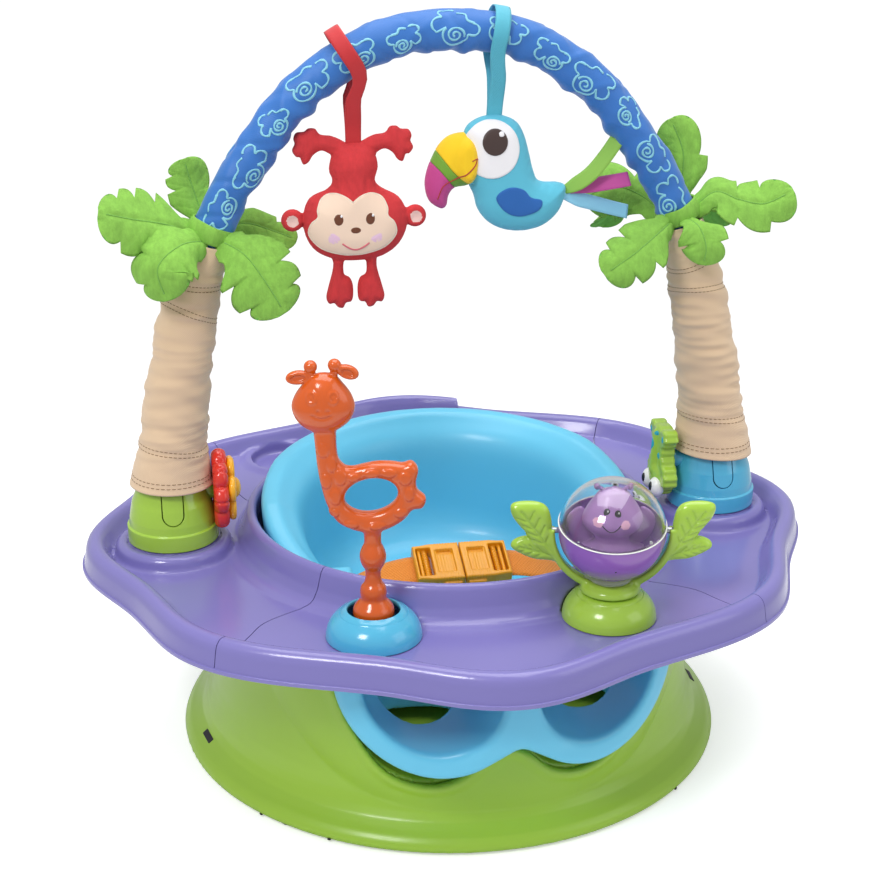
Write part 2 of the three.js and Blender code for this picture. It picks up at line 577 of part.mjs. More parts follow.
// ---------- ball spinner ----------
function addBallSpinner(parent) {
  const group = toyGroup(SPINNER, parent);
  piece('spinner_dome', domeShell(12), LIME, group);
  const { z, r, wall } = BALL;
  const arms = new THREE.Shape();
  arms.absarc(0, z, r + 2, Math.PI * 0.985, Math.PI * 2.015, false);
  arms.absarc(0, z, r + 7, Math.PI * 2.015, Math.PI * 0.985, true);
  const bigLeaf = [[38, 189], [37.5, 208], [41, 219], [50, 221.5], [61, 221], [63.5, 217], [57, 205],
      [47, 193]];
  const smallLeaf = [[34, 181.5], [44, 181], [56, 185], [63, 190], [61, 195], [53, 197.6], [40, 195]];
  const mirrored = (outline) => outline.map(([x, y]) => [-x, y]).reverse();
  const clear = solid(ball(0, 0, z, r + 2, r + 2, r + 2, 20));
  const pinHole = solid(bar([-60, 0, z], [60, 0, z], 2.4, 2.4, 12));
  const foot = [[0, 157], [10, 157], [11.4, 159], [11.4, 163], [15, 168], [0, 168]];
  const yoke = union(
    solid(plate(arms, 9, 10)),
    solid(plate(bigLeaf, 7)), solid(plate(mirrored(bigLeaf), 7)),
    solid(plate(smallLeaf, 7)), solid(plate(mirrored(smallLeaf), 7)),
    solid(turned(foot, 12)));
  piece('spinner_yoke', yoke.subtract(clear).subtract(pinHole), LIME, group);
  const sphere = solid(ball(0, 0, z, r, r, r, 20));
  const hollow = solid(ball(0, 0, z, r - wall, r - wall, r - wall, 16));
  const lowHalf = solid(box(-50, 50, -50, 50, 150, z - GAP / 2));
  const highHalf = solid(box(-50, 50, -50, 50, z + GAP / 2, 250));
  const sockets = solid(bar([-60, 0, z], [60, 0, z], 2.2, 2.2, 12));
  const deck = wholeDisc(0, 0, r, 185.6, 187.6, 24).intersect(sphere);
  const lower = sphere.subtract(hollow).intersect(lowHalf).add(deck);
  const drain = wholeDisc(0, 0, 2, 160, 180, 10);
  piece('ball_lower', lower.subtract(sockets).subtract(drain), ORCHID, group);
  piece('ball_upper', sphere.subtract(hollow).intersect(highHalf).subtract(sockets), CLEAR, group);
  const profile = [[0, 188], [25, 188], [23, 191], [12, 194.6], [10.4, 198], [14, 202], [18.4, 207],
      [18.8, 211],
    [16.4, 218], [11, 225.5], [5, 229.5], [0, 230.2]];
  const bug = union(
    solid(turned(profile, 12).scale(1, 0.8, 1)),
    solid(bar([-5, 0, 226], [-9, 0, 229.6], 1.2, 1.2, 5)),
    solid(bar([5, 0, 226], [9, 0, 229.6], 1.2, 1.2, 5)),
    solid(ball(-9, 0, 229.4, 1.9, 1.9, 1.9, 5)),
    solid(ball(9, 0, 229.4, 1.9, 1.9, 1.9, 5)));
  piece('ball_bug', bug, ORCHID, group);
  for (const side of [-1, 1]) {
    const pin = bar([side * (r - wall + 0.2), 0, z], [side * (r + 6.6), 0, z], 1.9, 1.9, 10);
    piece(`ball_pin_${side < 0 ? 'left' : 'right'}`, pin, STEEL, group);
  }
}

// ---------- hanging toys ----------
// A ribbon folded over the arch: a loop round the sleeve and a tail down to the toy.
function ribbonLoop(x, width, bottom) {
  const at = archRun(x);
  const top = archCurve.getPoint(at).z;
  // The arch slopes under the ribbon, so the loop is opened by half the rise across its width.
  const slope = Math.abs(archCurve.getTangent(at).z);
  const inner = SLEEVE_R * (1 + slope * slope) + slope * width / 2 + 1;
  const outer = inner + 1.2;
  const outline = new THREE.Shape();
  outline.absarc(0, top, outer, rad(-62), rad(242), false);
  outline.lineTo(-1, bottom);
  outline.lineTo(1, bottom);
  outline.holes.push(new THREE.Path().absarc(0, top, inner, 0, 2 * Math.PI));
  return plate(outline, width, 6).rotateZ(Math.PI / 2).translate(x, 0.7, 0);
}

// The share of the arch at which it crosses a given x.
function archRun(x) {
  let [low, high] = [0, 1];
  for (let i = 0; i < 40; i++) {
    const middle = (low + high) / 2;
    if (archCurve.getPoint(middle).x > x) low = middle;
    else high = middle;
  }
  return low;
}

function addMonkey(parent) {
  piece('monkey_ribbon', ribbonLoop(MONKEY_X, 10, 427.4), PLUSH_RED, parent);
  const x = MONKEY_X;
  const y = 0.7;
  const limbs = [];
  for (const side of [-1, 1]) {
    limbs.push(bar([x + side * 8, y, 408], [x + side * 30, y, 419], 7, 7));
    limbs.push(ball(x + side * 30, y, 420.5, 9.5, 7, 10));
    limbs.push(ball(x + side * 41, y, 374, 8, 5, 10));
    limbs.push(bar([x + side * 12, y, 350], [x + side * 13, y, 322], 6, 6));
    limbs.push(ball(x + side * 15, y, 318, 10, 8, 8));
  }
  const torso = [ball(x, y, 405, 16, 11, 21), ball(x, y, 369.5, 34.5, 15, 24, 12)];
  piece('monkey', union(...[...torso, ...limbs].map(solid)), PLUSH_RED, parent);
}

function addToucan(parent) {
  const y = 0.7;
  piece('toucan_ribbon', ribbonLoop(TOUCAN_X, 9, 437.4), SKY, parent);
  const head = ball(27, y, 412, 19, 13, 24.5, 12);
  const breast = ball(45, y, 379, 27, 14, 21, 12);
  const rump = ball(66, y, 379, 10, 7, 9);
  const body = union(solid(head), solid(breast), solid(rump));
  piece('toucan_body', body, PLUSH_BLUE, parent);
  const outline = [[14, 428], [2, 425], [-9, 417], [-15, 404], [-13, 390], [-6, 378], [-2, 386], [5, 391],
      [16, 394],
    [22, 410]];
  const keepOff = solid(ball(27, y, 412, 19.5, 13.5, 25,
      12)).add(solid(ball(45, y, 379, 27.5, 14.5, 21.5, 12)));
  piece('toucan_beak', solid(plate(outline, 15).translate(0, y, 0)).subtract(keepOff), YELLOW, parent);
  const ends = { green: [107, 411], magenta: [125, 387], blue: [125, 363] };
  const colors = { green: LEAF, magenta: cloth(0xc0327e), blue: cloth(0x8fc7ea) };
  const tips = { green: [77, 386], magenta: [78, 380], blue: [77, 374] };
  for (const [name, [ex, ez]] of Object.entries(ends)) {
    const [sx, sz] = tips[name];
    const length = Math.hypot(ex - sx, ez - sz);
    const turn = Math.atan2(ez - sz, ex - sx);
    const strip = box(0, length, -0.7, 0.7, -2.5, 2.5).rotateY(-turn).translate(sx, y, sz);
    piece(`tail_ribbon_${name}`, strip, colors[name], parent);
  }
}

addBase();
addSeat();
addBelt();
const tray = new THREE.Group();
seat.add(tray);
addTray(tray);
addArch(tray);
addSpinners(tray);
addGiraffe(tray);
addBallSpinner(tray);
addMonkey(tray);
addToucan(tray);

export default seat;
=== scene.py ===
"""Looks of the baby activity seat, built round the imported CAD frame. Millimetres until a mesh is made."""
import math

import bmesh
import bpy
import numpy as np
from mathutils import Matrix, Vector


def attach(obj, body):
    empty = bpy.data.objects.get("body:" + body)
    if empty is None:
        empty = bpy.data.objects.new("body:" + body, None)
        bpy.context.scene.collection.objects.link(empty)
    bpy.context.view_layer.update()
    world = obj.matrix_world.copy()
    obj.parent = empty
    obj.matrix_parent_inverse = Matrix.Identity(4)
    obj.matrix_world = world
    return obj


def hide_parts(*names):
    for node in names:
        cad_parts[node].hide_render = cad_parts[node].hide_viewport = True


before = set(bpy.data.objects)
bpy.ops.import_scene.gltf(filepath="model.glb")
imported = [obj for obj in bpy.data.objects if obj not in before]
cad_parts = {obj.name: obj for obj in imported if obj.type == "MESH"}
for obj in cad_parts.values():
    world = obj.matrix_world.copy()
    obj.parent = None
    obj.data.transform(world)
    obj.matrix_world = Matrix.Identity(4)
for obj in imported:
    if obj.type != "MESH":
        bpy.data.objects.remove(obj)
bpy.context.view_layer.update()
MM = 0.001
pi, tau = math.pi, 2 * math.pi


# ---------- camera, light, floor ----------
def add_object(name, data):
    obj = bpy.data.objects.new(name, data)
    bpy.context.scene.collection.objects.link(obj)
    return obj


def aim(obj, target):
    obj.rotation_euler = (Vector(target) - obj.location).to_track_quat("-Z", "Y").to_euler()


AZIMUTH, ELEVATION = math.radians(-10.1), math.radians(20.7)
DISTANCE, LENS = 1.2068, 71.14
AIM_RIGHT, AIM_HEIGHT = -0.0068, 0.2116


def add_camera():
    """The view, in metres: it orbits a point a little to the left of the toy's axis."""
    data = bpy.data.cameras.new("camera")
    data.lens, data.sensor_width = LENS, 36
    data.clip_start, data.clip_end = 0.05, 50
    right = Vector((math.cos(AZIMUTH), math.sin(AZIMUTH), 0))
    back = Vector((math.sin(AZIMUTH) * math.cos(ELEVATION), -math.cos(AZIMUTH) * math.cos(ELEVATION),
                   math.sin(ELEVATION)))
    target = right * AIM_RIGHT + Vector((0, 0, AIM_HEIGHT))
    camera = add_object("camera", data)
    camera.location = target + back * DISTANCE
    aim(camera, target)
    bpy.context.scene.camera = camera


def add_light(name, place, target, size, watts):
    data = bpy.data.lights.new(name, "AREA")
    data.shape, data.size, data.size_y = "RECTANGLE", size, size
    data.energy = watts
    light = add_object(name, data)
    light.location = place
    aim(light, target)


def add_studio():
    """A white room: it lights the toy softly, and only the camera sees its bright wall."""
    scene = bpy.context.scene
    world = bpy.data.worlds.new("studio")
    world.use_nodes = True
    nodes, links = world.node_tree.nodes, world.node_tree.links
    room, sweep_wall = nodes["Background"], nodes.new("ShaderNodeBackground")
    room.inputs["Color"].default_value = (0.97, 0.985, 1, 1)
    room.inputs["Strength"].default_value = 0.6
    sweep_wall.inputs["Color"].default_value = (1, 1, 1, 1)
    sweep_wall.inputs["Strength"].default_value = 1.05
    seen, choice = nodes.new("ShaderNodeLightPath"), nodes.new("ShaderNodeMixShader")
    links.new(seen.outputs["Is Camera Ray"], choice.inputs[0])
    links.new(room.outputs[0], choice.inputs[1])
    links.new(sweep_wall.outputs[0], choice.inputs[2])
    links.new(choice.outputs[0], nodes["World Output"].inputs["Surface"])
    scene.world = world
    scene.view_settings.view_transform = "Standard"
    add_light("key", (-0.95, -1.1, 1.5), (0, 0, 0.15), 0.5, 14)
    add_light("fill", (1.3, -0.9, 0.9), (0, 0, 0.15), 0.9, 3)
    add_light("top", (0.1, 0.2, 2.1), (0, 0, 0.1), 1.8, 32)
    floor, far = bpy.data.meshes.new("floor"), 9
    floor.from_pydata([(-far, -far, 0), (far, -far, 0), (far, far, 0), (-far, far, 0)], [], [(0, 1, 2, 3)])
    floor.materials.append(floor_material())
    add_object("floor", floor)


# ---------- materials ----------
def floor_material():
    """White paper: matt near the toy with a faint glow, fading into the white room further out."""
    made = Nodes("floor")
    made.set(Roughness=0.7)
    made.shader.inputs["Base Color"].default_value = (0.93, 0.93, 0.93, 1)
    seen = made.node("ShaderNodeLightPath").outputs["Is Camera Ray"]
    made.shader.inputs["Emission Color"].default_value = (1, 1, 1, 1)
    made.link(made.ranged(seen, 0.0, 0.42), made.shader.inputs["Emission Strength"])
    reach = made.node("ShaderNodeVectorMath", operation="LENGTH")
    made.link(made.place, reach.inputs[0])
    clear, fade = made.node("ShaderNodeBsdfTransparent"), made.node("ShaderNodeMixShader")
    made.link(made.ranged(reach.outputs["Value"], 0.0, 1.0, 0.35, 0.9), fade.inputs[0])
    made.link(made.shader.outputs[0], fade.inputs[1])
    made.link(clear.outputs[0], fade.inputs[2])
    made.link(fade.outputs[0], made.tree.nodes["Material Output"].inputs["Surface"])
    return made.material


def linear(hexa):
    """Linear red, green and blue of a hex colour."""
    parts = [int(hexa[i:i + 2], 16) / 255 for i in (0, 2, 4)]
    return tuple(p / 12.92 if p < 0.04045 else ((p + 0.055) / 1.055) ** 2.4 for p in parts)


class Nodes:
    """A node tree with short names for what the materials here need."""
    def __init__(self, name):
        self.material = bpy.data.materials.new(name)
        self.material.use_nodes = True
        self.tree = self.material.node_tree
        self.shader = self.tree.nodes["Principled BSDF"]
        self.place = self.node("ShaderNodeTexCoord").outputs["Object"]

    def node(self, kind, **values):
        made = self.tree.nodes.new(kind)
        for key, value in values.items():
            setattr(made, key, value)
        return made

    def link(self, out, socket):
        self.tree.links.new(out, socket)

    def mapped(self, key, value):
        """The object's own coordinates, scaled or turned first when a value is given."""
        if not value:
            return self.place
        mapping = self.node("ShaderNodeMapping")
        mapping.inputs[key].default_value = value
        self.link(self.place, mapping.inputs["Vector"])
        return mapping.outputs["Vector"]

    def noise(self, scale, detail=2.0, rough=0.5, stretch=None):
        made = self.node("ShaderNodeTexNoise")
        made.inputs["Scale"].default_value = scale
        made.inputs["Detail"].default_value = detail
        made.inputs["Roughness"].default_value = rough
        self.link(self.mapped("Scale", stretch), made.inputs["Vector"])
        return made.outputs["Fac"]

    def wave(self, scale, direction, distortion=0.0, turn=None):
        made = self.node("ShaderNodeTexWave", bands_direction=direction)
        made.inputs["Scale"].default_value = scale
        made.inputs["Distortion"].default_value = distortion
        made.inputs["Detail Scale"].default_value = 2
        self.link(self.mapped("Rotation", turn), made.inputs["Vector"])
        return made.outputs["Fac"]

    def ranged(self, value, low, high, start=0.0, end=1.0):
        made = self.node("ShaderNodeMapRange")
        self.link(value, made.inputs["Value"])
        for key, number in (("From Min", start), ("From Max", end), ("To Min", low), ("To Max", high)):
            made.inputs[key].default_value = number
        return made.outputs["Result"]

    def mix(self, value, a, b, blend="MIX"):
        made = self.node("ShaderNodeMix", data_type="RGBA", blend_type=blend)
        for socket, source in ((made.inputs[0], value), (made.inputs[6], a), (made.inputs[7], b)):
            if hasattr(source, "links"):
                self.link(source, socket)
            else:
                socket.default_value = (*source, 1) if isinstance(source, tuple) else source
        return made.outputs[2]

    def bump(self, height, strength, distance=0.0005):
        made = self.node("ShaderNodeBump")
        made.inputs["Strength"].default_value = strength
        made.inputs["Distance"].default_value = distance
        self.link(height, made.inputs["Height"])
        last = getattr(self, "normal", None)
        if last is not None:
            self.link(last, made.inputs["Normal"])
        self.normal = made.outputs["Normal"]
        self.link(self.normal, self.shader.inputs["Normal"])

    def set(self, **values):
        for key, value in values.items():
            self.shader.inputs[key.replace("_", " ")].default_value = value

    def colour(self, tone):
        self.link(tone, self.shader.inputs["Base Color"])

    def roughness(self, value, low, high):
        self.link(self.ranged(value, low, high), self.shader.inputs["Roughness"])


def shade(colour, factor):
    """A lighter or darker shade of a colour."""
    return tuple(min(1.0, c * factor) for c in colour)


def plain(name, hexa, rough, grain=0.04):
    """A matt solid with a slight tone drift."""
    colour = linear(hexa)
    made = Nodes(name)
    made.colour(made.mix(made.noise(14, 3), shade(colour, 1 - grain), shade(colour, 1 + grain)))
    made.set(Roughness=rough)
    return made.material


def moulded(name, hexa, rough, coat, grain=0.035):
    """Glossy moulded plastic: soft tone drift, faint orange peel, and scuffed gloss."""
    made = Nodes(name)
    colour = linear(hexa)
    made.colour(made.mix(made.noise(9, 3), shade(colour, 1 - grain), shade(colour, 1 + grain)))
    made.roughness(made.noise(45, 4, 0.6), rough - 0.05, rough + 0.07)
    made.set(Coat_Weight=coat, Coat_Roughness=0.12, IOR=1.46)
    made.bump(made.noise(420, 2), 0.05, 0.0002)
    made.bump(made.noise(60, 2), 0.04, 0.0006)
    return made.material


def woven(name, hexa, period=1.1, rough=0.85, sheen=0.25, grain=0.09, diagonal=True, deep=0.5):
    """Woven cloth: crossed thread bands with slubs and painted shade in their grooves, tone drift and a soft
    sheen.
    """
    made = Nodes(name)
    colour = linear(hexa)
    scale = 0.314 / (period * MM)
    turn = (0.6, 0.7, 0.785 if diagonal else 0.0)
    warp = made.wave(scale, "X", 0.6, turn)
    weft = made.wave(scale * 0.9, "Z", 0.6, turn)
    weave = made.mix(0.5, warp, weft)
    drift = made.mix(made.noise(28, 5, 0.6), shade(colour, 1 - grain), shade(colour, 1 + grain))
    # The weave's low lines, which the bump below sinks, are painted darker as shade in the grooves between
    # threads.
    made.colour(made.mix(made.ranged(weave, 0.35, 0.0), drift, shade(colour, 0.72)))
    made.set(Roughness=rough, Sheen_Weight=sheen, Sheen_Roughness=0.5)
    made.bump(weave, deep, 0.0004)
    made.bump(made.noise(170, 4, 0.7), 0.25, 0.0005)
    return made.material


def plush(name, hexa, dark, light, sheen, fibre, depth):
    """Short-pile fabric: fine fibre noise, brushed streaks painted lighter on their ridges and darker in
    their furrows, and a strong sheen.
    """
    made = Nodes(name)
    colour = linear(hexa)
    streaks = made.noise(fibre * 0.25, 5, 0.75, stretch=(1, 1, 0.35))
    fine = made.noise(fibre, 4, 0.7)
    # The tone follows the streaks that the bump raises: painted light on the raised pile, painted shade in
    # its furrows.
    tone = made.mix(made.ranged(streaks, 0, 1, 0.3, 0.7), shade(colour, dark), shade(colour, light))
    made.colour(made.mix(made.ranged(made.noise(40, 3), 0, 0.35, 0.35, 0.7), tone,
                         shade(colour, dark * 0.95)))
    made.set(Roughness=0.95, Sheen_Weight=sheen, Sheen_Roughness=0.45)
    made.shader.inputs["Sheen Tint"].default_value = (*shade(colour, 1.3), 1)
    made.bump(streaks, depth * 0.6, 0.0012)
    made.bump(fine, depth, 0.0006)
    return made.material


def satin(name, hexa, rough=0.42, sheen=0.35):
    """Smooth printed satin with a fine thread line and soft highlights."""
    made = Nodes(name)
    colour = linear(hexa)
    made.colour(made.mix(made.noise(22, 4), shade(colour, 0.86), shade(colour, 1.12)))
    made.roughness(made.noise(80, 3), rough - 0.06, rough + 0.1)
    made.set(Sheen_Weight=sheen, Sheen_Roughness=0.4)
    made.bump(made.wave(330, "DIAGONAL", 0.5), 0.12, 0.0003)
    made.bump(made.noise(110, 4, 0.7), 0.22, 0.0008)
    return made.material


def metal(name, hexa, rough=0.32):
    """Drawn steel with fine streaks."""
    made = Nodes(name)
    colour = linear(hexa)
    brushed = made.noise(250, 3, stretch=(1, 1, 12))
    made.colour(made.mix(brushed, shade(colour, 0.85), shade(colour, 1.1)))
    made.roughness(brushed, rough - 0.06, rough + 0.1)
    made.set(Metallic=1.0)
    return made.material


def glass(name):
    """Clear moulded plastic."""
    made = Nodes(name)
    made.colour(made.mix(made.noise(20, 2), (0.965, 0.975, 0.985), (1, 1, 1)))
    made.roughness(made.noise(70, 3), 0.02, 0.06)
    made.set(Transmission_Weight=1.0, IOR=1.35, Coat_Weight=0.4, Coat_Roughness=0.03)
    return made.material


# ---------- fields: signed distances in mm, negative inside ----------
def smin(a, b, k):
    """Union with a fillet of about k mm; smax is the same for a cut."""
    h = np.clip(0.5 + 0.5 * (b - a) / k, 0, 1)
    return b + (a - b) * h - k * h * (1 - h)


def smax(a, b, k):
    return -smin(-a, -b, k)


def lerp(a, b, t):
    return a + (b - a) * t


def step01(v, a, b):
    """A smooth step from 0 at a to 1 at b."""
    t = np.clip((v - a) / (b - a), 0, 1)
    return t * t * (3 - 2 * t)


def oval(x, y, z, centre, radii):
    """An ellipsoid; the value is close to a true distance near its surface."""
    p = [(c - o) / r for c, o, r in zip((x, y, z), centre, radii)]
    k0 = np.sqrt(p[0] ** 2 + p[1] ** 2 + p[2] ** 2)
    k1 = np.sqrt(sum((q / r) ** 2 for q, r in zip(p, radii)))
    return k0 * (k0 - 1) / np.maximum(k1, 1e-6)


def oval2(u, v, centre, radii, turn=0.0):
    """A flat oval, turned by an angle."""
    du, dv = u - centre[0], v - centre[1]
    c, s = math.cos(turn), math.sin(turn)
    return oval(c * du + s * dv, 0, -s * du + c * dv, (0, 0, 0), (radii[0], 1e6, radii[1]))


def limb(x, y, z, a, b, r0, r1=None):
    """A rod from a to b, with its own radius at each end."""
    r1 = r0 if r1 is None else r1
    ab = [q - p for p, q in zip(a, b)]
    pa = [x - a[0], y - a[1], z - a[2]]
    t = np.clip(sum(p * q for p, q in zip(pa, ab)) / sum(q * q for q in ab), 0, 1)
    return np.sqrt(sum((p - q * t) ** 2 for p, q in zip(pa, ab))) - lerp(r0, r1, t)


def limb2(u, v, a, b, r0, r1=None):
    """A flat rod."""
    return limb(u, 0, v, (a[0], 0, a[1]), (b[0], 0, b[1]), r0, r1)


def block(x, y, z, low, high, soft=1.0):
    """A box between two corners, with rounded edges."""
    d = [np.abs(c - (a + b) / 2) - ((b - a) / 2 - soft) for c, a, b in zip((x, y, z), low, high)]
    out = np.sqrt(sum(np.maximum(q, 0) ** 2 for q in d))
    return out + np.minimum(np.maximum(np.maximum(d[0], d[1]), d[2]), 0) - soft


def shape2(u, v, points):
    """Signed distance to a closed outline in the plane of u and v."""
    p = np.asarray(points, float)
    best, inside = np.full(np.broadcast(u, v).shape, 1e9), np.zeros(np.broadcast(u, v).shape, bool)
    for (ax, ay), (bx, by) in zip(p, np.roll(p, -1, 0)):
        ex, ey = bx - ax, by - ay
        t = np.clip(((u - ax) * ex + (v - ay) * ey) / max(ex * ex + ey * ey, 1e-12), 0, 1)
        best = np.minimum(best, (u - ax - t * ex) ** 2 + (v - ay - t * ey) ** 2)
        if ay != by:
            inside ^= ((ay > v) != (by > v)) & (u < (bx - ax) * (v - ay) / (by - ay) + ax)
    return np.where(inside, -1, 1) * np.sqrt(best)


def slabbed(flat, w, half, soft):
    """An outline given by its distance, made a rounded slab of half thickness half along w."""
    a, b = flat + soft, np.abs(w) - half + soft
    return np.sqrt(np.maximum(a, 0) ** 2 + np.maximum(b, 0) ** 2) + np.minimum(np.maximum(a, b), 0) - soft


def pillow(flat, w, half, reach):
    """An outline stuffed like a cushion: thickness grows from its seam over a distance reach."""
    share = np.clip(-flat / reach, 0, 1)
    thick = half * np.sqrt(1 - (1 - share) ** 2)
    return np.where(flat > 0, np.sqrt(np.maximum(flat, 0) ** 2 + w ** 2), (np.abs(w) - thick) * 0.7)


def spline(points, closed=True, steps=6):
    """A Catmull-Rom curve through points."""
    p = np.asarray(points, float)
    n = len(p)
    spans = n if closed else n - 1

    def at(i):
        return p[i % n if closed else min(max(i, 0), n - 1)]
    t = np.linspace(0, 1, steps, endpoint=False)[:, None]
    made = [0.5 * (2 * at(i) + (at(i + 1) - at(i - 1)) * t
                   + (2 * at(i - 1) - 5 * at(i) + 4 * at(i + 1) - at(i + 2)) * t ** 2
                   + (3 * at(i) - at(i - 1) - 3 * at(i + 1) + at(i + 2)) * t ** 3) for i in range(spans)]
    return np.vstack(made if closed else made + [p[-1:]])


# ---------- meshes ----------
EDGES = [(axis, a, b) for axis in range(3) for a in (0, 1) for b in (0, 1)]


def surface(field, low, high, step, sharpen=3):
    """Surface nets of field = 0, each point then moved onto the surface itself."""
    axes = [np.arange(a - 1.5 * step, b + 2.5 * step, step) for a, b in zip(low, high)]
    shape = tuple(len(a) for a in axes)
    values = np.empty(shape, np.float32)
    for i in range(0, shape[0], 24):
        x, y, z = np.meshgrid(axes[0][i:i + 24], axes[1], axes[2], indexing="ij", sparse=True)
        values[i:i + 24] = field(x, y, z)
    inside = values < 0
    cells = [inside[i:shape[0] - 1 + i, j:shape[1] - 1 + j, k:shape[2] - 1 + k]
             for i in (0, 1) for j in (0, 1) for k in (0, 1)]
    count = sum(c.astype(np.int8) for c in cells)
    mixed = (count > 0) & (count < 8)
    ids = np.full(mixed.shape, -1, np.int64)
    ids[mixed] = np.arange(mixed.sum())
    cell = np.argwhere(mixed)
    total, hits = np.zeros((len(cell), 3)), np.zeros(len(cell))
    for axis, a, b in EDGES:
        offset = np.insert([a, b], axis, 0)
        unit = np.eye(3, dtype=int)[axis]
        p, q = cell + offset, cell + offset + unit
        fp, fq = values[tuple(p.T)], values[tuple(q.T)]
        cross = (fp < 0) != (fq < 0)
        t = (fp / np.where(cross, fp - fq, 1))[:, None]
        total[cross] += (p + t * unit)[cross]
        hits += cross
    points = np.array([a[0] for a in axes]) + total / hits[:, None] * step
    for _ in range(sharpen):
        d = field(*points.T)
        h = step * 0.15
        slope = np.stack([field(*(points + h * e).T) - field(*(points - h * e).T) for e in np.eye(3)],
                         1) / (2 * h)
        move = -d[:, None] * slope / np.maximum((slope ** 2).sum(1), 1e-3)[:, None]
        length = np.linalg.norm(move, axis=1)[:, None]
        points += move * np.minimum(1, 0.4 * step / np.maximum(length, 1e-9))
    quads = []
    for axis in range(3):
        low_in = np.take(inside, range(shape[axis] - 1), axis)
        high_in = np.take(inside, range(1, shape[axis]), axis)
        spots = np.argwhere(low_in != high_in)
        u, v = (axis + 1) % 3, (axis + 2) % 3
        within = spots[:, [u, v]]
        spots = spots[((within > 0) & (within < np.array(shape)[[u, v]] - 1)).all(1)]
        eu, ev = np.eye(3, dtype=int)[u], np.eye(3, dtype=int)[v]
        ring = np.stack([ids[tuple((spots - s).T)] for s in (eu + ev, ev, 0 * eu, eu)], 1)
        flip = ~low_in[tuple(spots.T)]
        ring[flip] = ring[flip][:, ::-1]
        quads.append(ring)
    return points, np.vstack(quads)


def grid_faces(nu, nv, wrap_u=False, wrap_v=False):
    """Quads of a grid of nu by nv points, closed on itself where it wraps."""
    u, v = np.arange(nu if wrap_u else nu - 1), np.arange(nv if wrap_v else nv - 1)
    a, b = np.meshgrid(u, v, indexing="ij")
    a, b = a.ravel(), b.ravel()
    a1, b1 = (a + 1) % nu, (b + 1) % nv
    return np.stack([a * nv + b, a1 * nv + b, a1 * nv + b1, a * nv + b1], 1)


def make(name, points, quads, material, body=None, slot=None, nodes=(), weld=False, sharp=None):
    """A smooth mesh object from points in mm and quads, riding on a CAD body."""
    points = np.asarray(points, float).reshape(-1, 3)
    quads = np.asarray(quads, np.int32)
    mesh = bpy.data.meshes.new(name)
    mesh.vertices.add(len(points))
    mesh.vertices.foreach_set("co", (points * MM).astype(np.float32).ravel())
    size = quads.shape[1]
    mesh.loops.add(quads.size)
    mesh.loops.foreach_set("vertex_index", quads.ravel())
    mesh.polygons.add(len(quads))
    mesh.polygons.foreach_set("loop_start", np.arange(0, quads.size, size, dtype=np.int32))
    mesh.update(calc_edges=True)
    work = bmesh.new()
    work.from_mesh(mesh)
    if weld:
        bmesh.ops.remove_doubles(work, verts=work.verts, dist=1e-6)
        bmesh.ops.dissolve_degenerate(work, edges=work.edges, dist=1e-7)
    bmesh.ops.recalc_face_normals(work, faces=work.faces)
    work.to_mesh(mesh)
    work.free()
    mesh.polygons.foreach_set("use_smooth", np.ones(len(mesh.polygons), bool))
    if sharp:
        mesh.set_sharp_from_angle(angle=math.radians(sharp))
    mesh.materials.append(material)
    return settle(add_object(name, mesh), body, slot, nodes)


def settle(obj, body, slot, nodes=()):
    """Ties a piece to its body and hides the CAD nodes that it stands for. The slot is not used."""
    if body:
        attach(obj, body)
        if nodes:
            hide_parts(*nodes)
    return obj


def join(parts):
    """Several (points, quads) pairs as one."""
    points, quads, base = [], [], 0
    for p, q in parts:
        p = np.asarray(p, float).reshape(-1, 3)
        points.append(p)
        quads.append(np.asarray(q) + base)
        base += len(p)
    return np.vstack(points), np.vstack(quads)


def rounded(points, radius=1.0, steps=4, closed=True):
    """A polyline with its corners rounded; a point may carry its own radius as a third number."""
    n, made = len(points), []
    for i, point in enumerate(points):
        p = np.array(point[:2], float)
        if not closed and i in (0, n - 1):
            made.append(p)
            continue
        a, b = np.array(points[i - 1][:2], float), np.array(points[(i + 1) % n][:2], float)
        r = point[2] if len(point) > 2 else radius
        la, lb = np.linalg.norm(a - p), np.linalg.norm(b - p)
        ua, ub = (a - p) / la, (b - p) / lb
        corner = math.acos(max(-1, min(1, float(ua @ ub))))
        cut = min(r / max(math.tan(corner / 2), 1e-3), 0.45 * la, 0.45 * lb)
        if cut < 1e-3 or corner > 3.1:
            made.append(p)
            continue
        for t in np.linspace(0, 1, steps + 1):
            made.append((1 - t) ** 2 * (p + ua * cut) + 2 * t * (1 - t) * p + t * t * (p + ub * cut))
    return np.array(made)


def lathe(profile, centre=(0, 0), sides=72, arc=None):
    """A turned solid about a vertical axis from a closed profile of (radius, z)."""
    p = np.asarray(profile, float)
    start, end = arc or (0, tau)
    turns = np.linspace(start, end, sides, endpoint=arc is not None)
    r, z = p[:, 0], p[:, 1]
    points = np.stack([centre[0] + np.outer(np.cos(turns), r), centre[1] + np.outer(np.sin(turns), r),
                       np.tile(z, (sides, 1))], 2)
    return points.reshape(-1, 3), grid_faces(sides, len(p), wrap_u=arc is None, wrap_v=True)


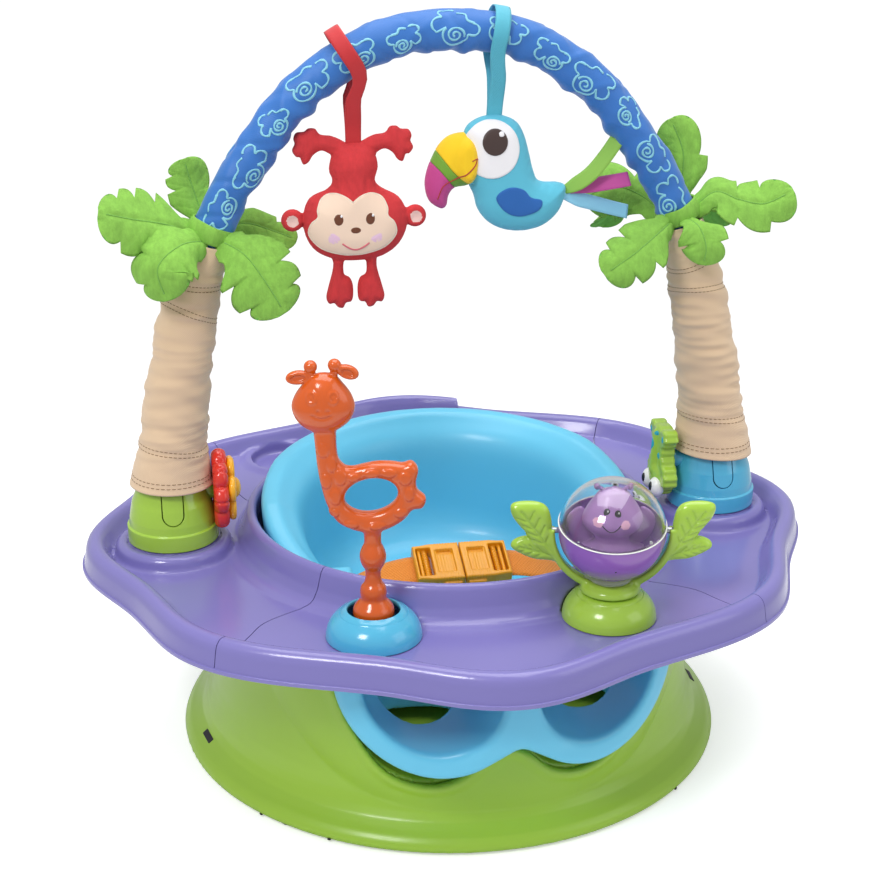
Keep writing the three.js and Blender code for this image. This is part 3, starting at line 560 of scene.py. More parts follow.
def sweep(path, radius, sides=10, up=(0, 1, 0), caps=True):
    """A tube along points; radius is a number or one per point."""
    path = np.asarray(path, float)
    along = np.gradient(path, axis=0)
    along /= np.linalg.norm(along, axis=1)[:, None]
    side = np.cross(along, up)
    side /= np.linalg.norm(side, axis=1)[:, None]
    other = np.cross(side, along)
    turns = np.arange(sides) / sides * tau
    radius = np.broadcast_to(radius, len(path))
    if caps:
        inset = 0.6 * np.array([radius[0], radius[-1]])
        path = np.vstack([path[:1] - along[:1] * inset[0], path, path[-1:] + along[-1:] * inset[1]])
        side, other = np.vstack([side[:1], side, side[-1:]]), np.vstack([other[:1], other, other[-1:]])
        radius = np.concatenate([[radius[0] * 0.35], radius, [radius[-1] * 0.35]])
    ring = np.cos(turns)[None, :, None] * side[:, None] + np.sin(turns)[None, :, None] * other[:, None]
    points = path[:, None] + ring * radius[:, None, None]
    faces = grid_faces(len(path), sides, wrap_v=True)
    ends = []
    if caps:
        for row in (0, len(path) - 1):
            ids = row * sides + np.arange(sides)
            ends += [[ids[i], ids[i + 1], ids[-2 - i], ids[-1 - i]] for i in range(sides // 2 - 1)]
    return points.reshape(-1, 3), np.vstack([faces, ends]) if ends else faces


def apply_modifiers(obj):
    graph = bpy.context.evaluated_depsgraph_get()
    mesh = bpy.data.meshes.new_from_object(obj.evaluated_get(graph))
    obj.modifiers.clear()
    obj.data = mesh


def boolean(obj, tool, operation="DIFFERENCE"):
    """Cuts or joins obj with a tool, which is then deleted."""
    modifier = obj.modifiers.new("cut", "BOOLEAN")
    modifier.operation, modifier.solver, modifier.object = operation, "MANIFOLD", tool
    apply_modifiers(obj)
    bpy.data.objects.remove(tool)


def copy_of(obj, name):
    """A copy of a piece, with a mesh of its own."""
    piece = obj.copy()
    piece.data = obj.data.copy()
    piece.name = piece.data.name = name
    bpy.context.scene.collection.objects.link(piece)
    return piece


def thicken(obj, mm):
    """Gives a single layer of cloth its thickness, inwards."""
    modifier = obj.modifiers.new("cloth", "SOLIDIFY")
    modifier.thickness, modifier.offset = mm * MM, -1
    apply_modifiers(obj)
    obj.data.polygons.foreach_set("use_smooth", np.ones(len(obj.data.polygons), bool))


def prism(name, outline, low, high):
    """A closed prism standing on z = low, from an outline of (x, y)."""
    p = np.asarray(outline, float)
    n = len(p)
    mesh = bpy.data.meshes.new(name)
    points = [(*q, low) for q in p] + [(*q, high) for q in p]
    faces = [tuple(range(n))[::-1], tuple(range(n, 2 * n))]
    faces += [(i, (i + 1) % n, n + (i + 1) % n, n + i) for i in range(n)]
    mesh.from_pydata([tuple(c * MM for c in q) for q in points], [], faces)
    work = bmesh.new()
    work.from_mesh(mesh)
    bmesh.ops.recalc_face_normals(work, faces=work.faces)
    bmesh.ops.triangulate(work, faces=work.faces)
    work.to_mesh(mesh)
    work.free()
    return add_object(name, mesh)


# ---------- dimensions shared with the CAD, in mm ----------
# LOBES: (degrees from the front or back, radius) of the tray's outline. ARCH: (x, z) of its right half. The
# seams between the tray's segments: (x, y).
LOBES = [(0, 246), (22, 229), (51, 245), (68, 238), (90, 255)]
SOCKET_X, ARCH_Y, SPIN_Z = 192.5, 0.7, 186
GIRAFFE, SPINNER = (-75, -152), (76, -151)
TOY_TURN, SEAT_TURN = math.radians(-10), math.radians(2.0)
CUP, COLLAR_R, SEAM_GAP = (-99, 158), 134.6, 0.3
TAB_HALF, TAB_Z, TAB_TOP, TAB_GAP = 7, 179, 196, 0.55
ARCH = [(192.5, 165), (191.5, 200), (186.5, 245), (177, 300), (167.5, 340), (147.2, 386.5), (129.8, 413),
        (105.5, 445), (78, 468), (42, 486), (0, 491)]
FRONT_SEAM = [(85, 84), (104, 101), (124, 112), (142, 125), (153, 143), (168, 162), (230, 222)]
BACK_SEAM = [(120, 66), (134, 74), (143, 97), (143, 119), (147, 153), (158, 174), (215, 235)]

# Looks: plastics and metal first, then the cloths, prints and threads.
GREEN = moulded("green_plastic_look", "98bf3a", 0.3, 0.12)
LIME = moulded("lime_plastic_look", "a2c942", 0.2, 0.45)
SEAT_BLUE = moulded("seat_foam_look", "62c0e2", 0.36, 0.12)
SKY = moulded("sky_plastic_look", "50b3d6", 0.18, 0.5)
PURPLE = moulded("purple_plastic_look", "7b74b4", 0.22, 0.35)
ORANGE = moulded("orange_plastic_look", "d25812", 0.18, 0.5)
ORCHID = moulded("orchid_plastic_look", "9564b6", 0.2, 0.4)
BUG = moulded("bug_plastic_look", "b082c2", 0.3, 0.25)
RED = moulded("red_plastic_look", "dc2f22", 0.2, 0.5)
YELLOW = moulded("yellow_plastic_look", "f6b21c", 0.22, 0.4)
WHITE = moulded("white_plastic_look", "f2f2ee", 0.3, 0.3)
BUCKLE = moulded("buckle_plastic_look", "e69c0c", 0.34, 0.15)
NYLON = moulded("nylon_look", "dedcd4", 0.42, 0.05)
BLACK = moulded("black_paint_look", "141214", 0.25, 0.5)
# Painted shade: a near-black look for the blocks that stand in the brim's slots.
SLOT_SHADE = moulded("painted_slot_shade_look", "201c24", 0.6, 0.0)
RUBBER = plain("rubber_look", "3a3a3c", 0.8, 0.1)
STEEL = metal("steel_look", "b8bcc0")
CLEAR = glass("clear_plastic_look")
PINK = moulded("pink_paint_look", "f6bfd8", 0.35, 0.2)
TEAL = moulded("teal_paint_look", "26a7b8", 0.25, 0.4)
RED_PLUSH = plush("red_plush_look", "d43a3e", 0.86, 1.06, 0.35, 1100, 0.35)
LEAF_PLUSH = plush("leaf_plush_look", "88bf4e", 0.74, 1.12, 0.4, 800, 0.6)
LEAF_UNDER = plush("leaf_under_look", "6fb94a", 0.8, 1.1, 0.4, 800, 0.5)
LEAF_STITCH = woven("leaf_stitch_look", "76b048", 0.6)
CREAM = woven("cream_cloth_look", "f8dcc4", 0.7, grain=0.03, deep=0.2)
CREAM_STITCH = woven("cream_stitch_look", "f8ecd8", 0.5, grain=0.03)
BROWN = satin("brown_print_look", "6b3a20", 0.35)
DARK_BROWN = satin("dark_brown_print_look", "42302c", 0.4)
WHITE_CLOTH = woven("white_cloth_look", "f6f4f6", 0.7, grain=0.02, deep=0.15)
LILAC = woven("lilac_print_look", "efc9e0", 0.7, grain=0.03, deep=0.2)
ROSE = woven("rose_thread_look", "df6f7c", 0.5)
PALE_PINK = woven("pale_pink_cloth_look", "f2cbc2", 0.7, grain=0.04, deep=0.2)
AQUA_CLOTH = woven("aqua_cloth_look", "5fc3dc", 0.6, 0.8, 0.2, 0.05, deep=0.25)
YELLOW_CLOTH = woven("yellow_cloth_look", "ffd014", 0.6, 0.8, 0.15, 0.04, deep=0.25)
LEAF_CLOTH = woven("leaf_cloth_look", "74a633", 0.6, 0.8, 0.15, 0.05, deep=0.25)
MAGENTA_CLOTH = woven("magenta_cloth_look", "c8468f", 0.6, 0.8, 0.15, 0.06, deep=0.25)
ROYAL_CLOTH = woven("royal_cloth_look", "2466b4", 0.6, 0.8, 0.15, 0.05, deep=0.25)
DARK_RED = woven("dark_red_thread_look", "b9342a", 0.5)
LIME_RIBBON = woven("lime_ribbon_look", "90c44e", 0.5, 0.6, 0.2, 0.05, False, 0.3)
MAGENTA_RIBBON = woven("magenta_ribbon_look", "c44a9c", 0.5, 0.6, 0.2, 0.05, False, 0.3)
PALE_RIBBON = woven("pale_ribbon_look", "8dcfee", 0.5, 0.6, 0.2, 0.05, False, 0.3)
RED_RIBBON = woven("red_ribbon_look", "c8262c", 0.5, 0.65, 0.2, 0.06, False, 0.3)
CYAN_RIBBON = woven("cyan_ribbon_look", "54b9d0", 0.8, 0.6, 0.2, 0.06, False, 0.6)
BLUE_SATIN = satin("blue_satin_look", "2f6fbd", 0.5, 0.3)
CLOUD_PRINT = satin("cloud_print_look", "84c8dc", 0.55)
TAN_CLOTH = woven("tan_cloth_look", "e2c4a2", 0.8, 0.9, 0.3, 0.06, deep=0.4)
TAN_STITCH = woven("tan_stitch_look", "8a6846", 0.5)
WEBBING = woven("webbing_look", "e08424", 1.6, 0.8, 0.15, 0.08, False, 0.8)


# ---------- base ----------
def turned(x, y, turn):
    """Coordinates in a frame that is turned about the vertical axis."""
    c, s = math.cos(turn), math.sin(turn)
    return x * c + y * s, y * c - x * s


def leaned(points, tilt, at):
    """Points tilted about the X axis, then moved."""
    c, s = math.cos(tilt), math.sin(tilt)
    p = np.asarray(points, float).reshape(-1, 3)
    return np.stack([at[0] + p[:, 0], at[1] + p[:, 1] * c - p[:, 2] * s, at[2] + p[:, 1] * s + p[:, 2] * c],
                    1)


def base_field(x, y, z):
    """The base: a turned shell with a flared brim and a mouth for the leg troughs in front."""
    x, y = turned(x, y, SEAT_TURN)
    r = np.hypot(x, y)
    outer = [(0, 1.6), (187, 1.6), (190.6, 2), (192, 3.4), (192, 5), (190.8, 8), (188, 11), (184, 13.6),
             (179, 17.5), (175.4, 23), (173.2, 29), (171.4, 37), (170.4, 46), (170, 60), (170, 124), (0, 124)]
    inner = [(0, -20), (185, -20), (184, 4.4), (181, 9), (173, 14), (168.4, 22), (166, 32), (165, 46),
             (164.6, 60), (164.6, 119), (0, 119)]
    # The front stands a little proud of the drum, as a panel round the mouth.
    panel = shape2(x, z, spline([(-152, 150), (-146, 104), (-131, 68), (-100, 36), (-56, 24), (0, 22),
                                 (56, 24), (100, 36), (131, 68), (146, 104), (152, 150), (0, 190)]))
    share = np.clip(-panel / 26, 0, 1)
    proud = 6.5 * share * (2 - share) * step01(-y, 0, 40)
    skin = shape2(r - proud, z, outer)
    shell = smax(skin, -shape2(r - proud, z, inner), 1.5)
    shell = smax(shell, 137 - r, 1.5)
    half = [(0, 67), (13, 62), (30, 47), (52, 41), (76, 49), (95, 76), (105, 104), (109.5, 140)]
    mouth = shape2(x, z, spline([(-a, b) for a, b in half[::-1]] + half[1:] + [(60, 190), (-60, 190)]))
    bead = np.where(y < -60, np.hypot(mouth - 2.4, skin + 2.2) - 2.9, 99.0)
    shell = smin(smax(shell, -smax(mouth - 1.2, y + 60, 2), 1.2), np.maximum(bead, z - 122), 3.5)
    # A pocket behind the mouth closes the drum under the troughs.
    walls = np.maximum(np.abs(mouth - 1.6) - 1.9, np.maximum(-168.5 - y, y + 72))
    rear = np.maximum(mouth - 3, np.abs(y + 72) - 2)
    pocket = np.maximum(np.maximum(np.minimum(walls, rear), z - 59.6), r - 168.5)
    return smin(shell, pocket, 1.5)


def slot_shade_block(turn, radii, half, heights, lean):
    """A small dark block let into the brim at an angle: painted shade standing for the inside of a slot."""
    points, quads = surface(lambda x, y, z: block(x, y, z, (-4, -half, -4), (4, half, 4), 1), (-4, -half, -4),
                            (4, half, 4), 0.7)
    a, tilt = math.radians(turn), math.radians(lean)
    x = points[:, 0] * (radii[1] - radii[0]) / 8
    z = points[:, 2] * (heights[1] - heights[0]) / 8
    r = (radii[0] + radii[1]) / 2 + x * math.cos(tilt) + z * math.sin(tilt)
    z = (heights[0] + heights[1]) / 2 + z * math.cos(tilt) - x * math.sin(tilt)
    y = points[:, 1]
    return np.stack([r * math.cos(a) - y * math.sin(a), r * math.sin(a) + y * math.cos(a), z], 1), quads


PADS, PAD_R = 4, 182


def add_base():
    """The base with dark blocks of painted shade in its slots, the ring that the tray turns on, and the foot
    pads.
    """
    make("base_shell_fine", *surface(base_field, (-193, -193, 1), (193, 193, 124), 1.9), GREEN, "root",
         "green_plastic", ["base_shell"])
    # The slots are dark blocks of painted shade, not openings.
    foot_slot_shades = [slot_shade_block(turn, (190.2, 192.2), 1.0, (1.8, 3.3), 0)
                  for turn in (-140.5, -124, -47, 40, 56, 133)]
    strap_slot_shades = [slot_shade_block(turn, (178.7, 183.3), 8, (14.0, 16.0), 38) for turn in (-3.6, 192)]
    make("base_slot_shades", *join(foot_slot_shades + strap_slot_shades), SLOT_SHADE, "root", "green_plastic")
    ring = rounded([(137.4, 124.4), (150, 124.4), (150, 127), (141, 127), (141, 137.4), (135, 137.4),
                    (135, 129.6), (137.4, 128.6)], 0.6)
    make("glide_ring_fine", *lathe(ring, sides=144, arc=(math.radians(-32), math.radians(212))), NYLON,
         "root", "nylon", ["glide_ring"])
    pads = []
    for i in range(PADS):
        t = math.radians(45 + 90 * i)
        pads.append(lathe(rounded([(0, 0, 0), (6.9, 0), (6.9, 1.2), (0, 1.2, 0)], 0.4),
                          (PAD_R * math.cos(t), PAD_R * math.sin(t)), 32))
    make("foot_pads_fine", *join(pads), RUBBER, "root", "rubber",
         [f"foot_pad_{i}" for i in range(1, PADS + 1)],
         weld=True)


# ---------- seat ----------
# Sections of the seat's bowl, as (radius, z).
BOWL_OUTER = spline([(-40, 80), (60, 80), (92, 80.5), (112, 92), (124, 116), (130, 150), (131.6, 176),
                     (131.6, 230), (0, 260)], steps=4)
BOWL_INNER = spline([(-40, 85.6), (50, 85.2), (80, 86.5), (99, 98), (111, 121), (116.5, 150), (118.5, 176),
                     (119, 232), (0, 262)], steps=4)


def seat_field(x, y, z):
    """The seat: a bowl with a high back, run into two leg troughs with a pommel between them."""
    r = np.hypot(x, y)
    top = np.interp(y, [-140, -66, -40, 0, 60, 140], [149, 149.5, 158, 172, 182.5, 189])
    bowl = smax(shape2(r, z, BOWL_OUTER), z - top, 6)
    bowl_y = y
    x, y = turned(x, y, SEAT_TURN)
    trough, hollow = 1e3, 1e3
    back = np.clip((y + 211) / 151, 0, 1)
    for side in (-1, 1):
        tube = np.hypot(x - side * (53 - 6 * back), z - 125 - 2 * back)
        trough = smin(trough, tube - 60.5 + 7 * back, 9)
        hollow = np.minimum(hollow, tube - 42.5 + 5 * back)
    saddle = block(x, y, z, (-30, -209, 85.5), (30, -60, 132), 8)
    # The lip bulges forward in the middle and falls back to the drum at its ends.
    lip = (0.0034 * x * x - 211 - y) / np.hypot(1, 0.0068 * x)
    trough = smin(smax(trough, np.maximum(lip, y + 50), 7), np.maximum(saddle, lip), 12)
    trough = smax(trough, z - 133, 3)
    body = smin(bowl, trough, 5)
    flank = np.abs(x) / np.maximum(r, 1)
    bevel = (r - 106 + 5 * flank - (25 - 5 * flank) * np.exp(-np.maximum(top - z - 1, 0) / 8)) * 0.55
    scoop = np.maximum(smax(shape2(r, z, BOWL_INNER), bevel, 6), -62 - bowl_y)
    body = smax(body, -scoop, 4)
    body = smax(body, -smax(hollow, y + 58, 6), 5)
    ramp = 125.5 + 27 * step01(y, -104, -58) * step01(np.abs(x), 60, 80)
    body = smax(body, -smax(smax(np.abs(x) - 96, y + 58, 6), ramp - z, 2), 4)
    for side in (-1, 1):
        drain = smax(oval2(x, y, (side * 52, -140), (25, 23)), z - 104, 2)
        body = smax(body, -drain, 1.5)
    return body


def add_seat():
    make("seat_shell_fine", *surface(seat_field, (-133, -212, 66), (133, 133, 190), 2.1), SEAT_BLUE, "root",
         "seat_foam", ["seat_shell"])


# ---------- tray ----------
def outline_radius(x, y):
    """How far the tray reaches in the direction of a point, from lobe to hollow and back."""
    turn = np.degrees(np.arctan2(np.abs(x), np.abs(y)))
    radius = np.full(turn.shape, 246.0)
    for (a0, r0), (a1, r1) in zip(LOBES, LOBES[1:]):
        share = (1 - np.cos(pi * np.clip((turn - a0) / (a1 - a0), 0, 1))) / 2
        radius = np.where(turn >= a0, r0 + (r1 - r0) * share, radius)
    return radius


# Sections of the tray. RIM: (distance in from the outline, z). COLLAR: (radius, z). DOME_CUT: (z, radius).
RIM_OUT = [(0.6, 135.2), (0.2, 135.8), (0.3, 137.6), (0.9, 139), (1.6, 143), (2.6, 149), (4, 152.4),
           (6.6, 154.7),
           (9.6, 155.4), (12.6, 154.6), (15, 152), (17.8, 147), (20.4, 142.9), (400, 142.9), (400, 135.2)]
RIM_IN = [(5.4, 130), (5.8, 138), (7.4, 146.5), (9, 149), (11, 149), (14, 143.6), (18, 138.4), (400, 138.4),
          (400, 130)]
COLLAR_TOP = [(134.6, 162.6), (135.6, 165.2), (137.6, 166.4), (139.8, 166), (141.8, 163.8), (143.6, 158.6),
              (145.6, 152.4), (148.6, 147), (152.4, 144), (157, 142.6)]
COLLAR_OUT = [(134.6, 138)] + COLLAR_TOP + [(157, 138)]
DOME_CUT = [(143, 30.8), (147, 30.3), (150, 29.5), (153.6, 27.6), (156.4, 25.2), (158.9, 22.2), (170, 22)]


def tray_field(x, y, z):
    """The whole tray ring: raised rim, collar, pads for the posts, cup recess, and niches for the domes."""
    r = np.hypot(x, y)
    inset = outline_radius(x, y) - r
    # At the back the rim is stretched upwards between two steps.
    taller = step01(x, -60.6, -59.2) * step01(-x, -48.7, -47.3) * (y > 0)
    rim_z = z - np.maximum(z - 143, 0) * 0.36 * taller
    body = shape2(inset, rim_z, RIM_OUT)
    body = smin(body, shape2(r, z, COLLAR_OUT), 2.5)
    body = smax(body, COLLAR_R - r, 1)
    body = smax(body, -np.maximum(z - 138, r - 151.4), 0.6)
    for side in (-1, 1):
        away = np.hypot(x - side * SOCKET_X, y - ARCH_Y)
        pad = shape2(away, z, rounded([(-50, 136), (41.4, 136), (41, 142.6), (39.2, 150), (36.5, 152.7, 2.5),
                                       (-50, 152.8)], 1))
        body = smin(body, pad, 2.2)
        groove = shape2(away, z, [(30.4, 151.6), (32.4, 151.6), (32.4, 160), (30.4, 160)])
        body = smax(body, -groove, 0.5)
    away = cup = np.hypot(x - CUP[0], y - CUP[1])
    lip = shape2(away, z, [(-40, 136), (37, 136), (36, 143), (33, 145.4), (29.6, 145.6), (-40, 145.6)])
    body = smin(body, lip, 3)
    body = smax(body, -smax(away - 28, 137.6 - z, 4), 2)
    for toy in (GIRAFFE, SPINNER):
        away = np.hypot(x - toy[0], y - toy[1])
        cut = away - np.interp(z, *zip(*DOME_CUT))
        body = smax(body, -smax(cut, 143 - z, 0.3), 0.8)
    under = np.maximum(shape2(inset, rim_z, RIM_IN), 139.6 - r)
    return smax(body, -np.maximum(under, 30.5 - cup), 1)


def add_tray():
    """The ring is shaped whole and then cut into its four segments along the seams."""
    ring = make("tray_whole", *surface(tray_field, (-256, -247, 134.6), (256, 254, 169), 1.9), PURPLE)
    paths = [np.array(seam) * signs for seam, signs in ((BACK_SEAM, (1, 1)), (BACK_SEAM, (-1, 1)),
                                                        (FRONT_SEAM, (-1, -1)), (FRONT_SEAM, (1, -1)))]
    far = [(0, 300), (-300, 0), (0, -300), (300, 0)]
    for i, name in enumerate(("tray_back", "tray_left", "tray_front", "tray_right")):
        outline = np.vstack([spline(paths[i], False, 4), [far[i]],
                             spline(paths[(i + 1) % 4], False, 4)[::-1]])
        piece = copy_of(ring, name + "_fine")
        boolean(piece, prism("wedge", offset2(outline, -SEAM_GAP), 100, 200), "INTERSECT")
        piece.data.set_sharp_from_angle(angle=math.radians(40))
        settle(piece, "tray", "purple_plastic", [name])
    bpy.data.objects.remove(ring)
    # The fine step line at the rim's lower edge.
    turns = np.arange(720) / 720 * tau
    profile = rounded([(-0.55, 135.1), (-0.55, 137.7), (1.6, 138.1), (1.6, 135.1)], 0.35, 3)
    reach = outline_radius(np.sin(turns), np.cos(turns))[:, None] - profile[:, 0]
    height = np.broadcast_to(profile[:, 1], reach.shape)
    points = np.stack([reach * np.sin(turns)[:, None], reach * np.cos(turns)[:, None], height], 2)
    make("tray_edge", points, grid_faces(720, len(profile), True, True), PURPLE, "tray", "purple_plastic",
         sharp=50)


# ---------- sockets and domes ----------
def add_sockets():
    """Each post's socket is turned, and its release tab is cut out of its front."""
    for side, name, material, slot in ((-1, "left", LIME, "lime_plastic"), (1, "right", SKY, "sky_plastic")):
        x = side * SOCKET_X
        outer = rounded([(31, 153.3), (31, 164.2, 0.9), (29.6, 164.8, 0.8), (29.2, 170, 6), (27, 181, 12),
                         (22.6, 192, 8), (17, 198.4, 3), (10.6, 199, 0.6), (10.6, 162, 0.5), (13, 162, 0.5),
                         (13, 193, 1), (18, 191.6, 2), (24.4, 179, 8), (27.4, 163, 1), (27.6, 153.3, 0.4)],
                        0.5, 5)
        shell = make(f"socket_{name}_fine", *lathe(outer, (x, ARCH_Y), 144), material, sharp=50)
        steps = [pi + pi * i / 24 for i in range(25)]
        u_shape = [(TAB_HALF * math.cos(t), TAB_Z + TAB_HALF * math.sin(t)) for t in steps]
        u_shape += [(TAB_HALF, TAB_TOP), (-TAB_HALF, TAB_TOP)]
        tab_tool = front_prism("tab", x, offset2([(u, min(v, TAB_TOP - 1.4)) for u, v in u_shape], -0.25),
                               0.6)
        hole_tool = front_prism("hole", x, offset2(u_shape, TAB_GAP), 0)
        tab = copy_of(shell, f"socket_tab_{name}_fine")
        boolean(tab, tab_tool, "INTERSECT")
        boolean(shell, hole_tool)
        boss = sweep([(x - side * 32, ARCH_Y, SPIN_Z), (x - side * 24, ARCH_Y, SPIN_Z),
                      (x - side * 22, ARCH_Y, SPIN_Z)], 6.4, 32, up=(0, 0, 1))
        boolean(shell, make("boss", *boss, material), "UNION")
        for piece in (shell, tab):
            piece.data.set_sharp_from_angle(angle=math.radians(50))
        settle(shell, "tray", slot, [f"socket_{name}"])
        settle(tab, f"tab_{name}", slot, [f"socket_tab_{name}"])


def offset2(points, d):
    """A closed outline grown by d; its points run anticlockwise."""
    p = np.asarray(points, float)
    along = np.roll(p, -1, 0) - np.roll(p, 1, 0)
    along /= np.linalg.norm(along, axis=1)[:, None]
    return p + np.stack([along[:, 1], -along[:, 0]], 1) * d


def front_prism(name, x, outline, shift):
    """A prism whose outline stands upright in front of a socket."""
    obj = prism(name, outline, 14 + shift, 34)
    obj.matrix_world = Matrix.Translation((x * MM, 0, 0)) @ Matrix.Rotation(math.radians(90), 4, "X")
    bpy.context.view_layer.update()
    obj.data.transform(obj.matrix_world)
    obj.matrix_world = Matrix.Identity(4)
    return obj


def add_domes():
    """The two domes that the giraffe and the ball spinner stand on."""
    for toy, mouth, name, material, slot in ((GIRAFFE, 16.4, "giraffe_dome", SKY, "sky_plastic"),
                                             (SPINNER, 12.0, "spinner_dome", LIME, "lime_plastic")):
        outer = [(30.2, 143.4), (30.2, 144.6), (29.7, 147), (28.9, 150), (27, 153.6), (24.6, 156.4),
                 (21.5, 158.9),
                 (21.2, 158.6), (20.8, 159.3), (18.4, 160.6), (mouth + 0.6, 161.4), (mouth, 161)]
        inner = [(mouth, 158.6), (20, 156), (25.6, 149.6), (27.6, 143.4)]
        make(name + "_fine", *lathe(np.vstack([outer, inner]), toy, 96), material, "tray", slot, [name],
             sharp=60)


# ---------- toys on the tray ----------
def toy_world(points, toy):
    """Points of a toy's own frame (across, depth, height) in the part's frame."""
    c, s = math.cos(TOY_TURN), math.sin(TOY_TURN)
    p = np.asarray(points, float).reshape(-1, 3)
    return np.stack([toy[0] + p[:, 0] * c - p[:, 1] * s, toy[1] + p[:, 0] * s + p[:, 1] * c, p[:, 2]], 1)


def front_depths(field, u, z, start=-40.0, end=0.0):
    """Depths at which a field's front surface is met at points (u, z)."""
    u, z = np.atleast_1d(u).astype(float)[:, None], np.atleast_1d(z).astype(float)[:, None]
    w = np.arange(start, end, 0.2)[None]
    inside = field(u, w, z) < 0
    first = np.argmax(inside, 1)
    return np.where(inside.any(1), w[0][first], end)


def front_depth(field, u, z, start=-40.0, end=0.0):
    return float(front_depths(field, u, z, start, end)[0])


def front_line(field, line, lift, start=-40.0):
    """A line of (u, z) points laid on a field's front, lifted towards the viewer."""
    return [(u, front_depth(field, u, z, start) - lift, z) for u, z in line]


def thread(path, radius, sides=8, **more):
    return sweep(path, radius, sides, up=(0, 1, 0), **more)


# Outlines as (across, height) in the toy's own frame. The leg is (radius, height), and a spot is its centre
# with its two half sizes.
GIRAFFE_BODY = spline([(-33.3, 286), (-33.1, 265), (-31.8, 251.8), (-29.8, 241), (-27, 231), (-21.6, 221),
                       (-14, 216),
                       (-5, 213.6), (6, 214.5), (14, 218), (20, 222.5), (24.5, 228), (30.5, 229.5),
                       (32.5, 235.5),
                       (27.8, 240.5), (26.6, 246), (28, 254), (24, 259), (18.5, 257.7), (12, 258.6),
                       (3, 258.6),
                       (-5, 257), (-11.7, 255.5), (-16.8, 256.9), (-20.3, 264), (-22.1, 286)], steps=4)
GIRAFFE_HEAD = spline([(-32.6, 314), (-21.9, 314), (-15.8, 308), (-11, 301), (-9.2, 293), (-12.5, 285.2),
                       (-20, 279.4),
                       (-28, 277.2), (-37, 279.2), (-43.7, 285), (-46.8, 293), (-45, 300.5), (-39.6, 308)],
                      steps=4)
GIRAFFE_LEG = spline([(-12, 157), (0, 157), (11.6, 157.2), (12.8, 159.6), (12.2, 163), (9.4, 166.8), (8, 169),
                      (8.3, 173), (7.5, 176.8), (5.6, 179.5), (4.7, 184), (5, 188), (6.8, 191.2), (8, 195),
                      (8, 199),
                      (6.6, 203), (5.3, 206), (5.4, 212), (6.8, 219), (0, 223), (-12, 223)], steps=3)
GIRAFFE_SPOTS = [(-28.6, 268, 3.4, 4), (-23.6, 259, 2.6, 4.4), (-18.6, 250.5, 3.2, 4.4), (-27.3, 248, 3, 4.2),
                 (-21.6, 238, 3, 4.6), (-23, 227.5, 3, 2.4), (-12.5, 220, 4, 2.2), (0, 252.6, 4.2, 2.4),
                 (10.4, 253.2, 4, 2.4), (20.2, 249.6, 3.4, 3.6), (22.5, 239.6, 2.6, 4),
                 (17.4, 227.4, 3.8, 2.6), (3.2, 219.4, 4.4, 2.2), (-10.5, 250.2, 3, 2.4)]


def giraffe_field(x, y, z):
    """The giraffe, facing -Y: a looped body with dished spots, a round head, and a beaded leg."""
    ring = smax(shape2(x, z, GIRAFFE_BODY), -oval2(x, z, (-0.4, 237.4), (16.2, 11), 0.22), 2)
    body = slabbed(ring, y, 5.8, 4.6)
    head = pillow(shape2(x, z, GIRAFFE_HEAD), y, 11.5, 17)
    body = smin(body, head, 2.2)
    r = np.hypot(x, y)
    body = smin(body, shape2(r, z, GIRAFFE_LEG), 2)
    for u, v, a, b in GIRAFFE_SPOTS:
        body = body - 0.95 * np.clip(1.25 - np.hypot((x - u) / a, (z - v) / b), 0,
                                     0.3) / 0.3 * (np.abs(y) > 2)
    for u, v in ((-35, 318.4), (-20.9, 319.4)):
        stem = limb(x, y, z, (u + (1.2 if u < -30 else -1), 0, 311), (u, 0, v - 1), 2.7, 1.9)
        body = smin(body, smin(stem, oval(x, y, z, (u, 0, v), (4, 4, 3.9)), 1), 1)
    for u, v, turn, length in ((-42.4, 311.8, 0.1, 7.4), (-13, 315.2, -0.34, 6.6)):
        ear = slabbed(oval2(x, z, (u, v), (length, 4.2), turn), y, 3, 2.4)
        hollow = slabbed(oval2(x, z, (u, v), (length - 2.6, 2.1), turn), y + 3.6, 2.2, 1)
        body = smin(body, smax(ear, -hollow, 0.8), 1.2)
    for u in (-34.3, -21.4):
        eye = np.hypot((x - u) / 2.5, (z - 302.4) / 3.2)
        body = body - 0.7 * np.exp(-((eye - 1) * 3.2) ** 2) * (y < 0)
        body = body - 0.6 * np.exp(-(eye * 2.6) ** 2) * (y < 0)
    for u in (-30.4, -24.6):
        body = body + 0.8 * np.exp(-(np.hypot(x - u, z - 294) / 1.1) ** 2) * (y < 0)
    smile = np.hypot(x + 28.4, z - 297)
    curve = np.exp(-((smile - 7.6) / 0.7) ** 2) * (z < 292) * (y < 0)
    return body + 0.6 * curve


PIVOT_R, PIVOT_Z = 5.4, 149


def add_giraffe():
    """The giraffe with its peg, and the ball and grommet that it rocks in."""
    points, quads = surface(giraffe_field, (-52, -13, 157), (34, 13, 324), 0.95)
    peg = lathe(spline([(0.01, 158), (3.4, 158), (3.2, 155.4), (0.01, 154.9)], False, 3), (0, 0), 24)
    points, quads = join([(points, quads), peg])
    make("giraffe_fine", toy_world(points, GIRAFFE), quads, ORANGE, "giraffe", "orange_plastic", ["giraffe"])
    grommet = rounded([(8, 144), (13, 144), (13, 152), (8, 152), (7.2, 150), (7.2, 147)], 0.8)
    make("giraffe_grommet_fine", *lathe(grommet, GIRAFFE, 48), RUBBER, "tray", "rubber", ["giraffe_grommet"])
    pivot = [(PIVOT_R * math.sin(t), PIVOT_Z - PIVOT_R * math.cos(t))
             for t in np.linspace(0.01, pi - 0.01, 20)]
    make("giraffe_pivot_fine", *lathe(pivot, GIRAFFE, 32), NYLON, "giraffe_ball", "nylon", ["giraffe_pivot"],
         weld=True)


